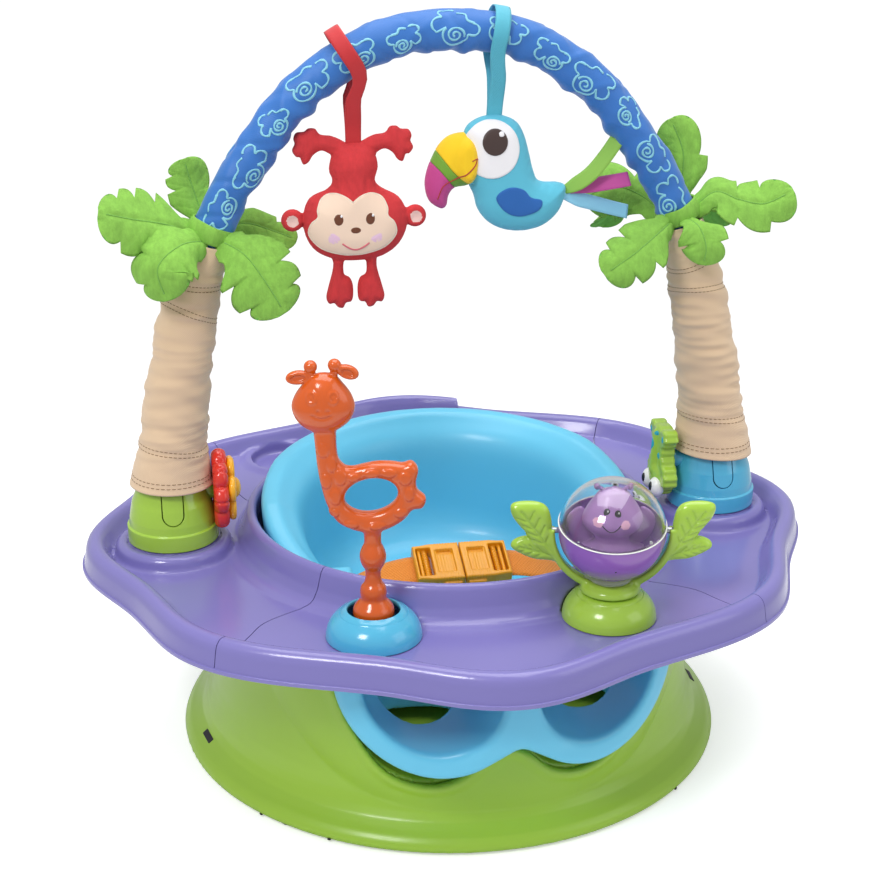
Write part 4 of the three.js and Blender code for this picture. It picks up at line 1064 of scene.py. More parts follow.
# Outlines of the yoke's right leaves, mirrored for the left ones.
BIG_LEAF = spline([(36, 184), (37.4, 196), (37.8, 208), (40.6, 217.5), (47, 221.4), (58, 221.6), (63.6, 219),
                   (62.5, 212), (56.5, 203.5), (49, 193.5)], steps=4)
SMALL_LEAF = spline([(32, 181), (40, 181.6), (49, 182.6), (58, 186.6), (63, 190.6), (61.4, 195), (54, 197.8),
                     (44, 197), (36, 192)], steps=4)


def vein(u, v, line, width=0.75):
    """Height of a raised rib along a line, from 0 to 1."""
    return np.exp(-(np.maximum(limb2(u, v, line[0], line[1], 0.0), 0) / width) ** 2)


def veins(u, v, start, end, shares, twigs):
    """A leaf's midrib from start to end, with side ribs leaving it at the given shares of its length."""
    ribs = vein(u, v, (start, end))
    for t in shares:
        p = (lerp(start[0], end[0], t), lerp(start[1], end[1], t))
        for du, dv in twigs:
            ribs = np.maximum(ribs, 0.8 * vein(u, v, (p, (p[0] + du, p[1] + dv)), 0.6))
    return ribs


BALL_TILT, BALL_Z = math.radians(11), 202


def yoke_field(x, y, z):
    """The leaf yoke: a stem and two arms that hold the ball's pins, each with a large and a small leaf."""
    a, round_pin = np.abs(x), np.hypot(x, z - BALL_Z)
    arms = slabbed(np.maximum(np.abs(round_pin - 38.2) - 2.4, (z - 201.6) - a * 0.05), y, 4.6, 2)
    shaft = shape2(np.hypot(x, y), z, [(-8, 157), (9.8, 157), (9.8, 162), (19.2, 162), (19.6, 162.8),
                                       (18.6, 165.2), (15.6, 168), (12, 170), (8, 171), (-8, 171)])
    body = smin(arms, np.maximum(shaft, 33.6 - round_pin), 2.5)
    big = pillow(shape2(a, z, BIG_LEAF), y + 0.6, 4.6, 6)
    big = big + 0.75 * veins(a, z, (38, 189), (57, 216), (0.2, 0.38, 0.56, 0.74), ((7.5, 2.4), (-3, 7.5)))
    small = pillow(shape2(a, z, SMALL_LEAF), y - 0.8, 4.2, 5)
    small = small + 0.7 * veins(a, z, (38, 186), (58, 191.6), (0.25, 0.5, 0.75), ((3.5, 4), (4.5, -2.4)))
    body = smin(smin(body, small, 1.4), big, 1.4)
    clear = np.sqrt(x * x + y * y + (z - BALL_Z) ** 2) - 35.4
    pin = np.hypot(y, z - BALL_Z) - 2.5
    return smax(smax(body, -clear, 0.6), -pin, 0.4)


BUG_PROFILE = spline([(-20, 188.2), (0, 188.2), (22, 188.2), (24.6, 189.4), (18, 191.4), (12.4, 194),
                      (10.6, 197.4),
                      (12.8, 201), (17, 204.4), (19, 208.6), (18.4, 213), (15.4, 219), (11.4, 224.6),
                      (8.6, 228), (4, 229.6), (0, 229.8), (-20, 229.8)], steps=3)
WING = spline([(10, 189), (20, 190), (26.6, 197), (28.4, 206), (24, 212.6), (17, 213)], steps=4)


def bug_field(x, y, z):
    """The bug inside the ball: a round body with two wings behind it."""
    head = shape2(np.hypot(x, y / 0.8), z, BUG_PROFILE) * 0.9
    wings = pillow(shape2(np.abs(x), z, WING), y - 8, 2.2, 5)
    return smin(head, wings, 1)


def add_ball():
    """The ball spinner: its yoke, the two halves of the ball, the bug inside, and the pins."""
    points, quads = surface(yoke_field, (-66, -21, 157), (66, 21, 224), 0.8)
    make("spinner_yoke_fine", toy_world(points, SPINNER), quads, LIME, "yoke", "lime_plastic",
         ["spinner_yoke"])

    def tilted(points):
        return toy_world(leaned(points, BALL_TILT, (0, 0, BALL_Z)), SPINNER)
    turns = np.linspace(0.02, pi / 2 - 0.2, 26)
    dome = [(34 * math.sin(t), 33.8 * math.cos(t)) for t in turns] + [(33.4, 5.4), (31.6, 5.4)]
    dome += [(31.9 * math.sin(t), 31.7 * math.cos(t)) for t in turns[::-1]]
    points, quads = lathe(dome, (0, 0), 96)
    make("ball_upper_fine", tilted(points), quads, CLEAR, "ball", "clear_plastic", ["ball_upper"])
    lower = [(33.7 * math.cos(t), (33.4 if t < 0 else 31.4) * -math.sin(t))
             for t in np.linspace(-0.15, pi / 2 - 0.02, 28)]
    lower += [(0.3, -12), (28.6, -12), (31, -4), (32, 4.6)]
    points, quads = lathe(lower, (0, 0), 96)
    make("ball_lower_fine", tilted(points), quads, ORCHID, "ball", "orchid_plastic", ["ball_lower"], sharp=45)
    # The white bead round the rim is a painted highlight along the clear rim's edge.
    rim = [(33.5 + 0.55 * math.cos(t), 5.2 + 0.45 * math.sin(t)) for t in np.arange(12) / 12 * tau]
    posts = [sweep([(side * 22, -17, -13), (side * 22, -17, -4), (side * 22, -17, 3)], 0.9,
                   12) for side in (-1, 1)]
    points, quads = join([lathe(rim, (0, 0), 96)] + posts)
    make("ball_rim_highlight_and_posts", tilted(points), quads, WHITE, "ball", "white_plastic")
    points, quads = surface(bug_field, (-30, -18, 187), (30, 18, 231), 0.9)
    feelers = []
    for side in (-1, 1):
        path = spline([(side * 5, 0, 227), (side * 7, 0, 229.6), (side * 9.4, 0, 230.4)], False, 4)
        feelers.append(sweep(path, 1.1, 10))
        knob = [(2 * math.sin(t), 230.6 - 1.7 * math.cos(t)) for t in np.linspace(0.05, pi - 0.05, 10)]
        feelers.append(lathe(knob, (side * 10, 0), 16))
    points, quads = join([(points, quads)] + feelers)
    make("ball_bug_fine", toy_world(points, SPINNER), quads, BUG, "ball", "orchid_plastic", ["ball_bug"])
    features = {"eyes": [], "glints": [], "cheeks": []}
    for u, z in ((-4.8, 218.4), (1.8, 217.6)):
        w = front_depth(bug_field, u, z)
        features["eyes"].append(blob((u, w, z), (2, 0.8, 3)))
        features["glints"].append(blob((u + 0.5, w - 0.7, z + 1.3), (0.55, 0.3, 0.7)))
    for u, z in ((-10.1, 212.4), (6.7, 211)):
        features["cheeks"].append(on_front(bug_field, disc_points(u, z, 3.6), 0.25))
    smile = [(-7.4 + 11 * t, 210.6 - 4.2 * math.sin(pi * t) + 0.4 * t) for t in np.linspace(0, 1, 13)]
    features["eyes"].append(thread(front_line(bug_field, smile, 0.1), 0.32))
    features["eyes"].append(sweep([(0, -28, 187.4), (0, -29.4, 187)], 1.1, 16, up=(1, 0, 0)))
    for key, material, slot in (("eyes", BLACK, "rubber"), ("glints", WHITE, "white_plastic"),
                                ("cheeks", PINK, "white_plastic")):
        points, quads = join(features[key])
        make(f"bug_{key}", toy_world(points, SPINNER), quads, material, "ball", slot)
    for side, name in ((-1, "left"), (1, "right")):
        pin = sweep([(side * reach, 0, BALL_Z) for reach in (32, 36, 40.6)], 1.9, 20, up=(0, 0, 1))
        make(f"ball_pin_{name}_fine", toy_world(pin[0], SPINNER), pin[1], STEEL, "ball", "steel",
             [f"ball_pin_{name}"])


def blob(centre, radii, n=12):
    """A small ellipsoid as a grid."""
    t, a = np.linspace(0.02, pi - 0.02, n), np.arange(2 * n) / (2 * n) * tau
    p = np.stack([np.outer(np.sin(t), np.cos(a)), np.outer(np.sin(t), np.sin(a)),
                  np.outer(np.cos(t), np.ones(2 * n))], 2)
    return (p * radii + np.array(centre)).reshape(-1, 3), grid_faces(n, 2 * n, wrap_v=True)


def disc_points(u, z, ru, rz=None, rings=5, n=28):
    """Rings of (u, z) points filling an oval, with how many points a ring has."""
    rz = ru if rz is None else rz
    r, a = np.linspace(0.02, 1, rings), np.arange(n) / n * tau
    return np.stack([u + ru * np.outer(r, np.cos(a)), z + rz * np.outer(r, np.sin(a))], 2), n


def on_front(field, disc, lift):
    """A disc of (u, z) points laid on the front of a field, with its edge tucked in."""
    grid, n = disc
    rings = len(grid)
    flat = grid.reshape(-1, 2)
    w = front_depths(field, flat[:, 0], flat[:, 1]).reshape(rings, n)
    edge = lift * np.sqrt(np.clip(1 - np.linspace(0, 1, rings) ** 6, 0, 1))[:, None] - 0.05
    points = np.stack([grid[..., 0], w - edge, grid[..., 1]], 2)
    return points.reshape(-1, 3), grid_faces(rings, n, wrap_v=True)


def scalloped(count, outer, inner, turn, x0, x1, soft):
    """A flat flower shape that faces along X, with rounded lobes about the spindle."""
    middle, half = (x0 + x1) / 2, (x1 - x0) / 2

    def field(x, y, z):
        u, v = y - ARCH_Y, z - SPIN_Z
        lobe = np.abs(np.cos((np.arctan2(v, u) + turn) * count / 2)) ** 0.6
        return slabbed((np.hypot(u, v) - inner - (outer - inner) * lobe) * 0.85, x - middle, half, soft)
    return field


def axle(name, body, reaches):
    """A steel spindle along X through a socket."""
    rod = sweep([(x, ARCH_Y, SPIN_Z) for x in reaches], 2.2, 20, up=(0, 0, 1))
    make(name + "_fine", *rod, STEEL, body, "steel", [name])


def add_flower():
    """The flower spinner: red petals, a yellow face, and its spindle."""
    red = scalloped(8, 28.5, 24, 0.0, -164.6, -154.2, 4.6)
    yellow = scalloped(6, 23.5, 17, 0.3, -154.4, -149.4, 2.3)

    def petals(x, y, z):
        r = np.hypot(y - ARCH_Y, z - SPIN_Z)
        a = np.arctan2(z - SPIN_Z, y - ARCH_Y)
        body = red(x, y, z) + 0.9 * np.exp(-(np.abs(np.sin(a * 4)) * r / 3.2) ** 2) * step01(r, 9, 15)
        return smax(body, -np.maximum(r - 9, x + 158), 1)

    def face(x, y, z):
        groove = 0.5 * np.exp(-((np.hypot(y - ARCH_Y, z - SPIN_Z) - 9) / 1) ** 2)
        return smin(yellow(x, y, z) + groove, oval(x, y, z, (-150, ARCH_Y, SPIN_Z), (5, 7.4, 7.4)), 0.8)
    make("flower_petals_fine", *surface(petals, (-165, -29, 156), (-153, 30, 216), 0.9), RED, "flower",
         "red_plastic", ["flower_petals"])
    make("flower_face_fine", *surface(face, (-155, -25, 161), (-144, 26, 211), 0.85), YELLOW, "flower",
         "yellow_plastic", ["flower_face"])
    axle("flower_axle", "flower", (-178, -165, -155))


def add_gecko():
    """The gecko spinner, flat and facing -X, with raised spots and round eyes."""
    half = spline([(3, 26), (8, 25), (12.6, 26), (17, 24), (19, 19.6), (16, 15.4), (12.6, 12), (12, 6),
                   (14, 1),
                   (18.6, -4), (21, -9.6), (19.6, -15), (15, -17), (11.4, -20), (7.6, -24.4), (3, -25)],
                  False, 4)
    outline = np.vstack([half, half[::-1] * (-1, 1)])

    def field(x, y, z):
        u, v = y - ARCH_Y, z - SPIN_Z
        flat = shape2(u, v, outline) + 0.5 * np.cos(v * 1.15) * (np.abs(u) > 9)
        body = slabbed(flat, x - 156, 5.4, 2.4)
        ridge = smin(limb(x, u, v, (151, 0, 20), (150.4, 0, -6), 3, 4.4),
                     oval(x, u, v, (151, 0, -12), (4, 12, 9)), 3)
        body = smin(body, ridge, 2.5)
        back = np.maximum(np.hypot(u, v) - 7.4, 158 - x)
        return smax(body, -back, 0.8)
    make("gecko_body_fine", *surface(field, (145, -25, 159), (162, 26, 214), 0.85), LIME, "gecko",
         "lime_plastic", ["gecko_body"])

    def side(x, y, z):
        return field(y + 156, x + ARCH_Y, z)
    spots, eyes, pupils = [], [], []
    for u, v, ru, rv in ((1, 12.4, 3.6, 5), (-6.4, 5, 2.2, 2.6), (4.6, -1, 2.4, 2.6), (-13.5, 19.4, 2, 2.6),
                         (13.4, 19, 2, 2.4), (-3, 21, 2, 1.8)):
        p, q = on_front(side, disc_points(u, SPIN_Z + v, ru, rv), 0.35)
        spots.append((np.stack([p[:, 1] + 156, p[:, 0] + ARCH_Y, p[:, 2]], 1), q))
    for y in (-8, 9.4):
        eyes.append(blob((149.4, y, SPIN_Z - 17.6), (5.4, 6.6, 7.4), 16))
        pupils.append(blob((145.2, y - 0.6, SPIN_Z - 16.8), (1.8, 2.7, 3.6), 12))
    make("gecko_spots", *join(spots), TEAL, "gecko", "sky_plastic")
    make("gecko_eyes_fine", *join(eyes), WHITE, "gecko", "white_plastic", ["gecko_eyes"])
    make("gecko_pupils", *join(pupils), BLACK, "gecko", "rubber")
    axle("gecko_axle", "gecko", (178, 166, 157))


# ---------- lap belt ----------
def belt_world(points):
    """Points of the belt's own flat frame in the part's frame."""
    return leaned(points, math.radians(20), (3.6, -30, 129.4))


def buckle_field(side):
    """One half of the buckle; side -1 is the plug, 1 the socket."""
    def field(x, y, z):
        u = x * side
        half = 17.4 - 1.2 * step01(u, 20, 30)
        plate = slabbed(np.maximum(np.maximum(0.35 - u, u - 33), np.abs(y) - half), z, 5.2, 1.4)
        window = block(u, y, z, (20.6, -13.4, -9), (31, 13.4, 9), 1)
        bars = smin(limb(u, y, z, (24.6, -15, 0), (24.6, 15, 0), 1.9),
                    limb(u, y, z, (28.6, -15, 1.4), (28.6, 15, 1.4), 1.3), 0.1)
        bars = bars + 0.45 * np.cos(y * 2.6) * (u < 26.8)
        recess = block(u, y, z, (5, -11, 4), (17.5, 11, 9), 0.6)
        notch = block(u, y, z, (6, 7.4, 2.6), (16.5, 10.4, 9), 0.5)
        body = smax(smax(plate, -window, 0.6), -recess, 0.5)
        body = np.minimum(smax(body, -notch, 0.4), np.maximum(bars, np.abs(y) - 15))
        prong = block(u, y, z, (2, -19.4, -4.4), (15, -14, 1.4), 1.2)
        return smin(body, prong, 0.8) + 0.18 * np.cos(u * 3.2) * (z > 3) * (u < 18)
    return field


WEB_HALF = 12.5


def add_belt():
    """The two halves of the buckle, and a strap from each to the seat's wall."""
    for side, node, body in ((1, "buckle_socket", "root"), (-1, "buckle_plug", "buckle_half")):
        low, high = ((0, -20, -6), (34, 18, 6)) if side > 0 else ((-34, -20, -6), (0, 18, 6))
        points, quads = surface(buckle_field(side), low, high, 0.7)
        make(node + "_fine", belt_world(points), quads, BUCKLE, body, "buckle_plastic", [node])
    for side, node, body in ((-1, "strap_left", "buckle_half"), (1, "strap_right", "root")):
        s = np.linspace(0, 108, 46)
        slope = np.radians(10 + 22 * step01(s, 0, 40))
        run = np.cumsum(np.stack([np.cos(slope), np.sin(slope)], 1), 0) * (s[1] - s[0])
        path = np.stack([side * (34.6 + run[:, 0]), 0 * s, -2 - run[:, 1]], 1)
        path = np.vstack([[(side * 21, 0, -2.6), (side * 27, 0, -2.4), (side * 31, 0, -2)], path])
        points, quads = strip(path, np.tile([0, 1, 0], (len(path), 1)), WEB_HALF, 0.8)
        strap = make(node + "_fine", belt_world(points), quads, WEBBING, body, "webbing", [node])


def strip(path, across, half, thick, steps=7):
    """A flat ribbon of given half width along a path; across holds the width's direction at each point."""
    path, across = np.asarray(path, float), np.asarray(across, float)
    across = across / np.linalg.norm(across, axis=1)[:, None]
    along = np.gradient(path, axis=0)
    normal = np.cross(along, across)
    normal /= np.linalg.norm(normal, axis=1)[:, None]
    t = np.linspace(-1, 1, steps)
    ring = [(a, 1 - 0.5 * abs(a) ** 8) for a in t] + [(a, -1 + 0.5 * abs(a) ** 8) for a in t[::-1]]
    half = np.broadcast_to(half, len(path))
    points = np.stack([path + across * (half * a)[:, None] + normal * (thick / 2 * b) for a, b in ring], 1)
    n, m = len(path), len(ring)
    ends = [[row * m + i, row * m + i + 1, row * m + m - 2 - i, row * m + m - 1 - i]
            for row in (0, n - 1) for i in range(steps - 1)]
    return points.reshape(-1, 3), np.vstack([grid_faces(n, m, wrap_v=True), ends])


# ---------- soft things ----------
def mirrored(half, centre):
    """A symmetric outline from its right half: (distance from x = centre, height) from the top down."""
    p = np.asarray(half, float)
    return np.vstack([np.stack([centre + p[:, 0], p[:, 1]], 1),
                      np.stack([centre - p[::-1, 0], p[::-1, 1]], 1)])


def patch(field, outline, soft=0.8, lift=0.55, deep=1.3, back=False):
    """A thin applique lying on a field's front face inside an outline."""
    def inner(x, y, z):
        body = field(x, y, z)
        shell = np.maximum(body - lift, -(body + deep))
        facing = (ARCH_Y - 1 - y) if back else (y - ARCH_Y + 1)
        return np.maximum(smax(shell, outline(x, z), soft), facing)
    return inner


# Outlines as (x, z); the limbs and the face are given by their distance from the monkey's middle.
MONKEY_X = -63.5
MONKEY_BODY = spline([(-76.3, 415), (-79.4, 404), (-77.4, 396.5), (-80.5, 391), (-92.4, 385.2), (-97, 373.4),
                      (-95.6, 360), (-89, 349.8), (-76.3, 343.8), (-62.2, 342.6), (-47.5, 344.4), (-36, 351),
                      (-29.4, 361.5), (-28.4, 373.4), (-34, 384.3), (-45, 390.6), (-49.4, 396), (-47.4, 405),
                      (-49.6, 414), (-56, 419.6), (-63, 421), (-70, 419.6)], steps=4)
MONKEY_ARM = spline([(4, 419.6), (13, 425.2), (21, 426.6), (24.2, 430.4), (28.6, 430.8), (31.6, 428.8),
                     (36.6, 428.2),
                     (38.6, 424.4), (37.8, 421), (39.6, 416.6), (37, 412.6), (34.6, 412.2), (32.6, 407.6),
                     (29, 409), (25.8, 413.6), (20, 416.2), (12, 412), (4, 410)], steps=4)
MONKEY_LEG = spline([(14.4, 350), (14.6, 338), (18, 325), (19.6, 317.6), (17.8, 313.4), (14.4, 313.6),
                     (12, 310.8),
                     (8.4, 310.2), (6.4, 313.6), (3, 314.4), (1.6, 318), (1.6, 325.4), (3.4, 330.6), (7, 333),
                     (7.8, 338), (7.4, 350)], steps=4)
FACE = spline([(0, 380.2), (5, 384), (12, 385.6), (19.4, 382.6), (22.8, 376), (22.8, 370.8), (27.2, 366),
               (28.4, 358), (20.8, 349.6), (8, 345.4), (0, 344.8)], False, 4)


def monkey_field(x, y, z):
    """The stuffed monkey, facing -Y, with its arms up and tucks at the neck."""
    w, a = y - ARCH_Y, np.abs(x - MONKEY_X)
    body = pillow(shape2(x, z, MONKEY_BODY), w, 13.5, 19)
    arms = pillow(shape2(a, z, MONKEY_ARM), w, 5, 6.5)
    legs = pillow(shape2(a, z, MONKEY_LEG), w, 6, 7)
    ears = pillow(np.hypot(a - 40.6, z - 371) - 7.4, w, 4.4, 5)
    ears = ears + 1.3 * np.exp(-(np.hypot(a - 40.8, z - 371) / 3.6) ** 4) * (w < 0)
    soft = smin(smin(body, arms, 3), smin(legs, ears, 2), 2.5)
    tucks = np.sin(x * 0.9 + 2 * np.sin(z * 0.21)) * np.exp(-((z - 394) / 5) ** 2)
    pucker = np.sin(z * 1.3 + x * 0.25) * np.exp(-((np.abs(shape2(x, z, MONKEY_BODY)) - 2) / 2.5) ** 2)
    return soft + 0.35 * tucks + 0.16 * pucker


def add_monkey():
    """The monkey with its cloth face, and the face's stitched edge and prints."""
    monkey = make("monkey_fine", *surface(monkey_field, (-112, -14, 309), (-15, 15, 432), 1.0), RED_PLUSH,
                  "monkey", "red_plush", ["monkey"])
    outline = mirrored(FACE, MONKEY_X - 2.2) + (0, 4)

    def front(x, y, z):
        return monkey_field(x, y, z) - 0.55

    def within(x, z):
        return shape2(x, z, outline)
    make("monkey_face", *surface(patch(monkey_field, within), (-96, -16, 344), (-34, 0, 392), 0.8), CREAM,
         "monkey", "red_plush")
    edge = front_line(monkey_field, spline(outline, steps=1), 0.35, -20)
    loop = thread(edge + edge[:2], 0.42, caps=False)
    make("monkey_face_edge", *loop, CREAM_STITCH, "monkey", "red_plush")
    paint = {"brown": [], "glint": [], "blush": [], "smile": [], "ear": []}
    for u in (-75.2, -54.6):
        paint["brown"].append(on_front(front, disc_points(u, 373.2, 3.5, 4.3), 0.4))
        paint["glint"].append(on_front(front, disc_points(u + 1.7, 375.6, 1, 1.1, 3, 16), 0.75))
    paint["brown"].append(on_front(front, disc_points(-64.2, 366, 3.9, 2.4), 0.4))
    for u in (-78.6, -50.6):
        paint["blush"].append(on_front(front, disc_points(u, 361, 4.5), 0.22))
    curve = [(-73 + 17.4 * t, 357.2 - 4.4 * math.sin(pi * t)) for t in np.linspace(0, 1, 17)]
    paint["smile"].append(thread(front_line(front, curve, 0.05), 0.6))
    for side in (-1, 1):
        paint["ear"].append(on_front(monkey_field, disc_points(MONKEY_X + side * 40.8, 371, 4.2, 4.6), 0.45))
    looks = {"brown": BROWN, "glint": WHITE_CLOTH, "blush": LILAC, "smile": ROSE, "ear": PALE_PINK}
    for key, parts in paint.items():
        make(f"monkey_{key}", *join(parts), looks[key], "monkey", "red_plush")


TOUCAN_BODY = spline([(27.6, 436), (17.2, 433.2), (10.4, 427), (9, 415), (9.5, 400), (12.6, 391.4),
                      (16.4, 383.3),
                      (19, 374), (25.8, 365.2), (36.2, 359.6), (49.9, 357.9), (63.7, 361.2), (73.6, 369.5),
                      (78, 379.6), (78.4, 387.4), (72.3, 389.9), (64.5, 390.2), (59, 392.6), (56, 399.7),
                      (53.4, 410.1), (49.9, 422.2), (44.8, 430.8), (36.2, 435.1)], steps=4)
TOUCAN_BEAK = spline([(11, 425), (0.4, 423.4), (-6.9, 417.4), (-11.6, 409), (-15, 400.5), (-16.4, 391),
                      (-13.7, 380.7),
                      (-6, 375.2), (-2, 377.3), (-0.6, 384), (3.4, 388.8), (12, 390.4), (18.1, 396.3),
                      (20.2, 404.9), (19, 415.3), (15.4, 421.6)], steps=4)
TOUCAN_WING = spline([(31.6, 377.3), (33.6, 382.5), (41.3, 385.8), (49.9, 383.8), (55.1, 378.4),
                      (62.4, 376.2), (61.4, 371), (56, 367.6), (46.5, 366), (37.9, 369.3)], steps=4)


def toucan_field(x, y, z):
    """The toucan's stuffed body, seen from its side."""
    body = pillow(shape2(x, z, TOUCAN_BODY), y - ARCH_Y, 12, 17)
    pucker = np.sin(x * 0.9 - z * 0.8) * np.exp(-((np.abs(shape2(x, z, TOUCAN_BODY)) - 2) / 2.5) ** 2)
    return body + 0.14 * pucker + 0.3 * np.sin(z * 0.7 + x
                                               * 0.5) * np.exp(-(np.hypot(x - 60, z - 394) / 8) ** 2)


def beak_field(x, y, z):
    """The toucan's stuffed beak, and the part of it that is sewn over the head."""
    w = y - ARCH_Y
    body = pillow(shape2(x, z, TOUCAN_BEAK), w, 10.6, 13)
    return smin(body, pillow(oval2(x, z, (11, 407), (9, 16)), w, 13.6, 7), 3)


def above(points, x, z):
    """How far (x, z) lies above a curve."""
    p = np.asarray(points, float)
    return z - np.interp(x, p[:, 0], p[:, 1])


def add_toucan():
    """The toucan: body, three-coloured beak, patches on both sides, mouth line and tail ribbons."""
    body = make("toucan_body_fine", *surface(toucan_field, (7, -13, 356), (80, 14, 438), 1.0), AQUA_CLOTH,
                "toucan", "blue_plush", ["toucan_body"])
    upper = [(-30, 434), (-11, 416.5), (-5, 408.5), (0.4, 401.6), (6.2, 395.8), (16, 389)]
    lower = [(-30, 427), (-14.6, 408.6), (-7.6, 401.8), (-3, 396.4), (1, 391.4), (10, 384)]
    looks = (("yellow", YELLOW_CLOTH, lambda x, z: -above(upper, x, z)),
             ("green", LEAF_CLOTH, lambda x, z: np.maximum(above(upper, x, z), -above(lower, x, z))),
             ("magenta", MAGENTA_CLOTH, lambda x, z: above(lower, x, z)))
    for name, material, cut in looks:
        def band(x, y, z, cut=cut):
            return smax(beak_field(x, y, z), cut(x, z) * 0.75, 0.7)
        nodes = ["toucan_beak"] if name == "yellow" else []
        make(f"toucan_beak_{name}", *surface(band, (-18, -15, 374), (22, 16, 426), 0.9), material,
                         "toucan", "beak_felt", nodes)
    patches = (("eye", WHITE_CLOTH, lambda x, z: oval2(x, z, (26.6, 415), (18.4, 19)), 0.55),
               ("wing", ROYAL_CLOTH, lambda x, z: shape2(x + 2, z - 4, TOUCAN_WING), 0.6),
               ("pupil", DARK_BROWN, lambda x, z: oval2(x, z, (28.2, 420), (8.4, 8.8)), 0.95),
               ("glint", WHITE_CLOTH, lambda x, z: oval2(x, z, (32.4, 425.2), (1.9, 1.9)), 1.3))
    for back, tag, near, far in ((False, "", -16, 1), (True, "_back", 0, 17)):
        for name, material, outline, lift in patches:
            layer = patch(toucan_field, outline, 0.5, lift, 1.2, back)
            make(f"toucan_{name}{tag}", *surface(layer, (6, near, 365), (64, far, 434), 0.85), material,
                 "toucan", "blue_plush")
    curve = spline([(16.4, 409.6), (15, 405.6), (9.6, 400), (2.4, 396.2), (-5.8, 391.6), (-9.2, 383)], False,
                   5)
    tick = ((13, 408.4), (15.4, 409.4), (17.8, 409))
    threads = join([thread(front_line(beak_field, line, 0.15), 0.42) for line in (curve, tick)])
    make("toucan_smile", *threads, DARK_RED, "toucan", "beak_felt")
    tails = (("green", LIME_RIBBON, "leaf_plush", -4,
              [(76, 383), (84, 387), (95, 395), (105, 406.5), (112.6, 417)]),
             ("magenta", MAGENTA_RIBBON, "magenta_ribbon", 0,
              [(76, 382.4), (86, 385.6), (97, 386.4), (110, 388.4), (122.6, 390.4)]),
             ("blue", PALE_RIBBON, "pale_ribbon", 4,
              [(76, 381), (86, 378), (98, 374.2), (111, 370), (124, 366.4)]))
    for name, material, slot, y, course in tails:
        course = spline(course, False, 6)
        t = np.linspace(0, 1, len(course))
        path = np.stack([course[:, 0], ARCH_Y + y * t + 1.6 * np.sin(t * 5 + y), course[:, 1]], 1)
        tangent = np.gradient(course, axis=0)
        tangent /= np.linalg.norm(tangent, axis=1)[:, None]
        lean = 0.35 + 0.3 * t
        across = np.stack([-tangent[:, 1], lean, tangent[:, 0]], 1)
        half = 5.1 * (0.45 + 0.55 * step01(t, 0, 0.35))
        points, quads = strip(path, across, half, 0.7)
        tail = make(f"tail_ribbon_{name}_fine", points, quads, material, "toucan", slot,
                    [f"tail_ribbon_{name}"])


def hanger(node, x_top, x_low, centre, low, material, slot, body):
    """A ribbon looped over the sleeve, its two ends sewn together into the toy."""
    r = 15.9
    bend = math.radians(12)
    over = [(ARCH_Y - r * math.cos(t), centre + r * math.sin(t)) for t in np.linspace(-bend, pi + bend, 25)]
    front = spline([(ARCH_Y - 0.75, low), (ARCH_Y - 1.1, low + 10), (ARCH_Y - 5, low + 22), over[0]], False,
                   7)[:-1]
    back = spline([over[-1], (ARCH_Y + 5, low + 22), (ARCH_Y + 1.1, low + 10), (ARCH_Y + 0.75, low)], False,
                  7)[1:]
    course = np.vstack([front, over, back])
    share = np.clip((course[:, 1] - low) / (centre + r - low), 0, 1)
    x = x_low + (x_top - x_low) * share + 0.7 * np.sin(share * 5)
    # The loop leans with the arch where it wraps the sleeve, and hangs plumb below.
    slope = np.interp(x_top, ARCH_P[:, 0], ARCH_T[:, 1] / ARCH_T[:, 0])
    lean = slope * step01(course[:, 1], centre - 30, centre - 4)
    x = x - lean * (course[:, 1] - centre)
    path = np.stack([x, course[:, 0], course[:, 1]], 1)
    across = np.stack([np.ones(len(path)), np.zeros(len(path)), lean], 1)
    points, quads = strip(path, across, 5.05 + 0.1 * np.sin(share * 9), 0.9)
    ribbon = make(node + "_fine", points, quads, material, body, slot, [node])


def add_hangers():
    hanger("monkey_ribbon", -66.4, -63.2, 477.4, 419.4, RED_RIBBON, "red_plush", "monkey_strap")
    hanger("toucan_ribbon", 31.6, 29.6, 489.25, 433.5, CYAN_RIBBON, "pale_ribbon", "toucan_strap")


def arch_frame(count=400):
    """Points along the arch, left foot to right, with tangents and outward normals in its plane."""
    half = np.array(ARCH, float)
    course = np.vstack([np.stack([-half[:, 0], half[:, 1]], 1), half[::-1]])
    keep = [0] + [i for i in range(1, len(course)) if np.linalg.norm(course[i] - course[i - 1]) > 1]
    course = spline(course[keep], False, 24)
    run = np.r_[0, np.cumsum(np.linalg.norm(np.diff(course, axis=0), axis=1))]
    s = np.linspace(0, run[-1], count)
    p = np.stack([np.interp(s, run, course[:, 0]), np.interp(s, run, course[:, 1])], 1)
    t = np.gradient(p, axis=0)
    t /= np.linalg.norm(t, axis=1)[:, None]
    return s, p, t, np.stack([-t[:, 1], t[:, 0]], 1)


ARCH_S, ARCH_P, ARCH_T, ARCH_N = arch_frame()


def on_arch(s, turn, radius):
    """Points on a tube round the arch; turn 0 faces outwards, 90 degrees faces the front."""
    px, pz = (np.interp(s, ARCH_S, ARCH_P[:, i]) for i in (0, 1))
    nx, nz = (np.interp(s, ARCH_S, ARCH_N[:, i]) for i in (0, 1))
    out = radius * np.cos(turn)
    return np.stack([px + nx * out, ARCH_Y - radius * np.sin(turn), pz + nz * out], -1)


SLEEVE_R, SLEEVE_FOOT_Z, PALM_Z = 12.9, 357, 366


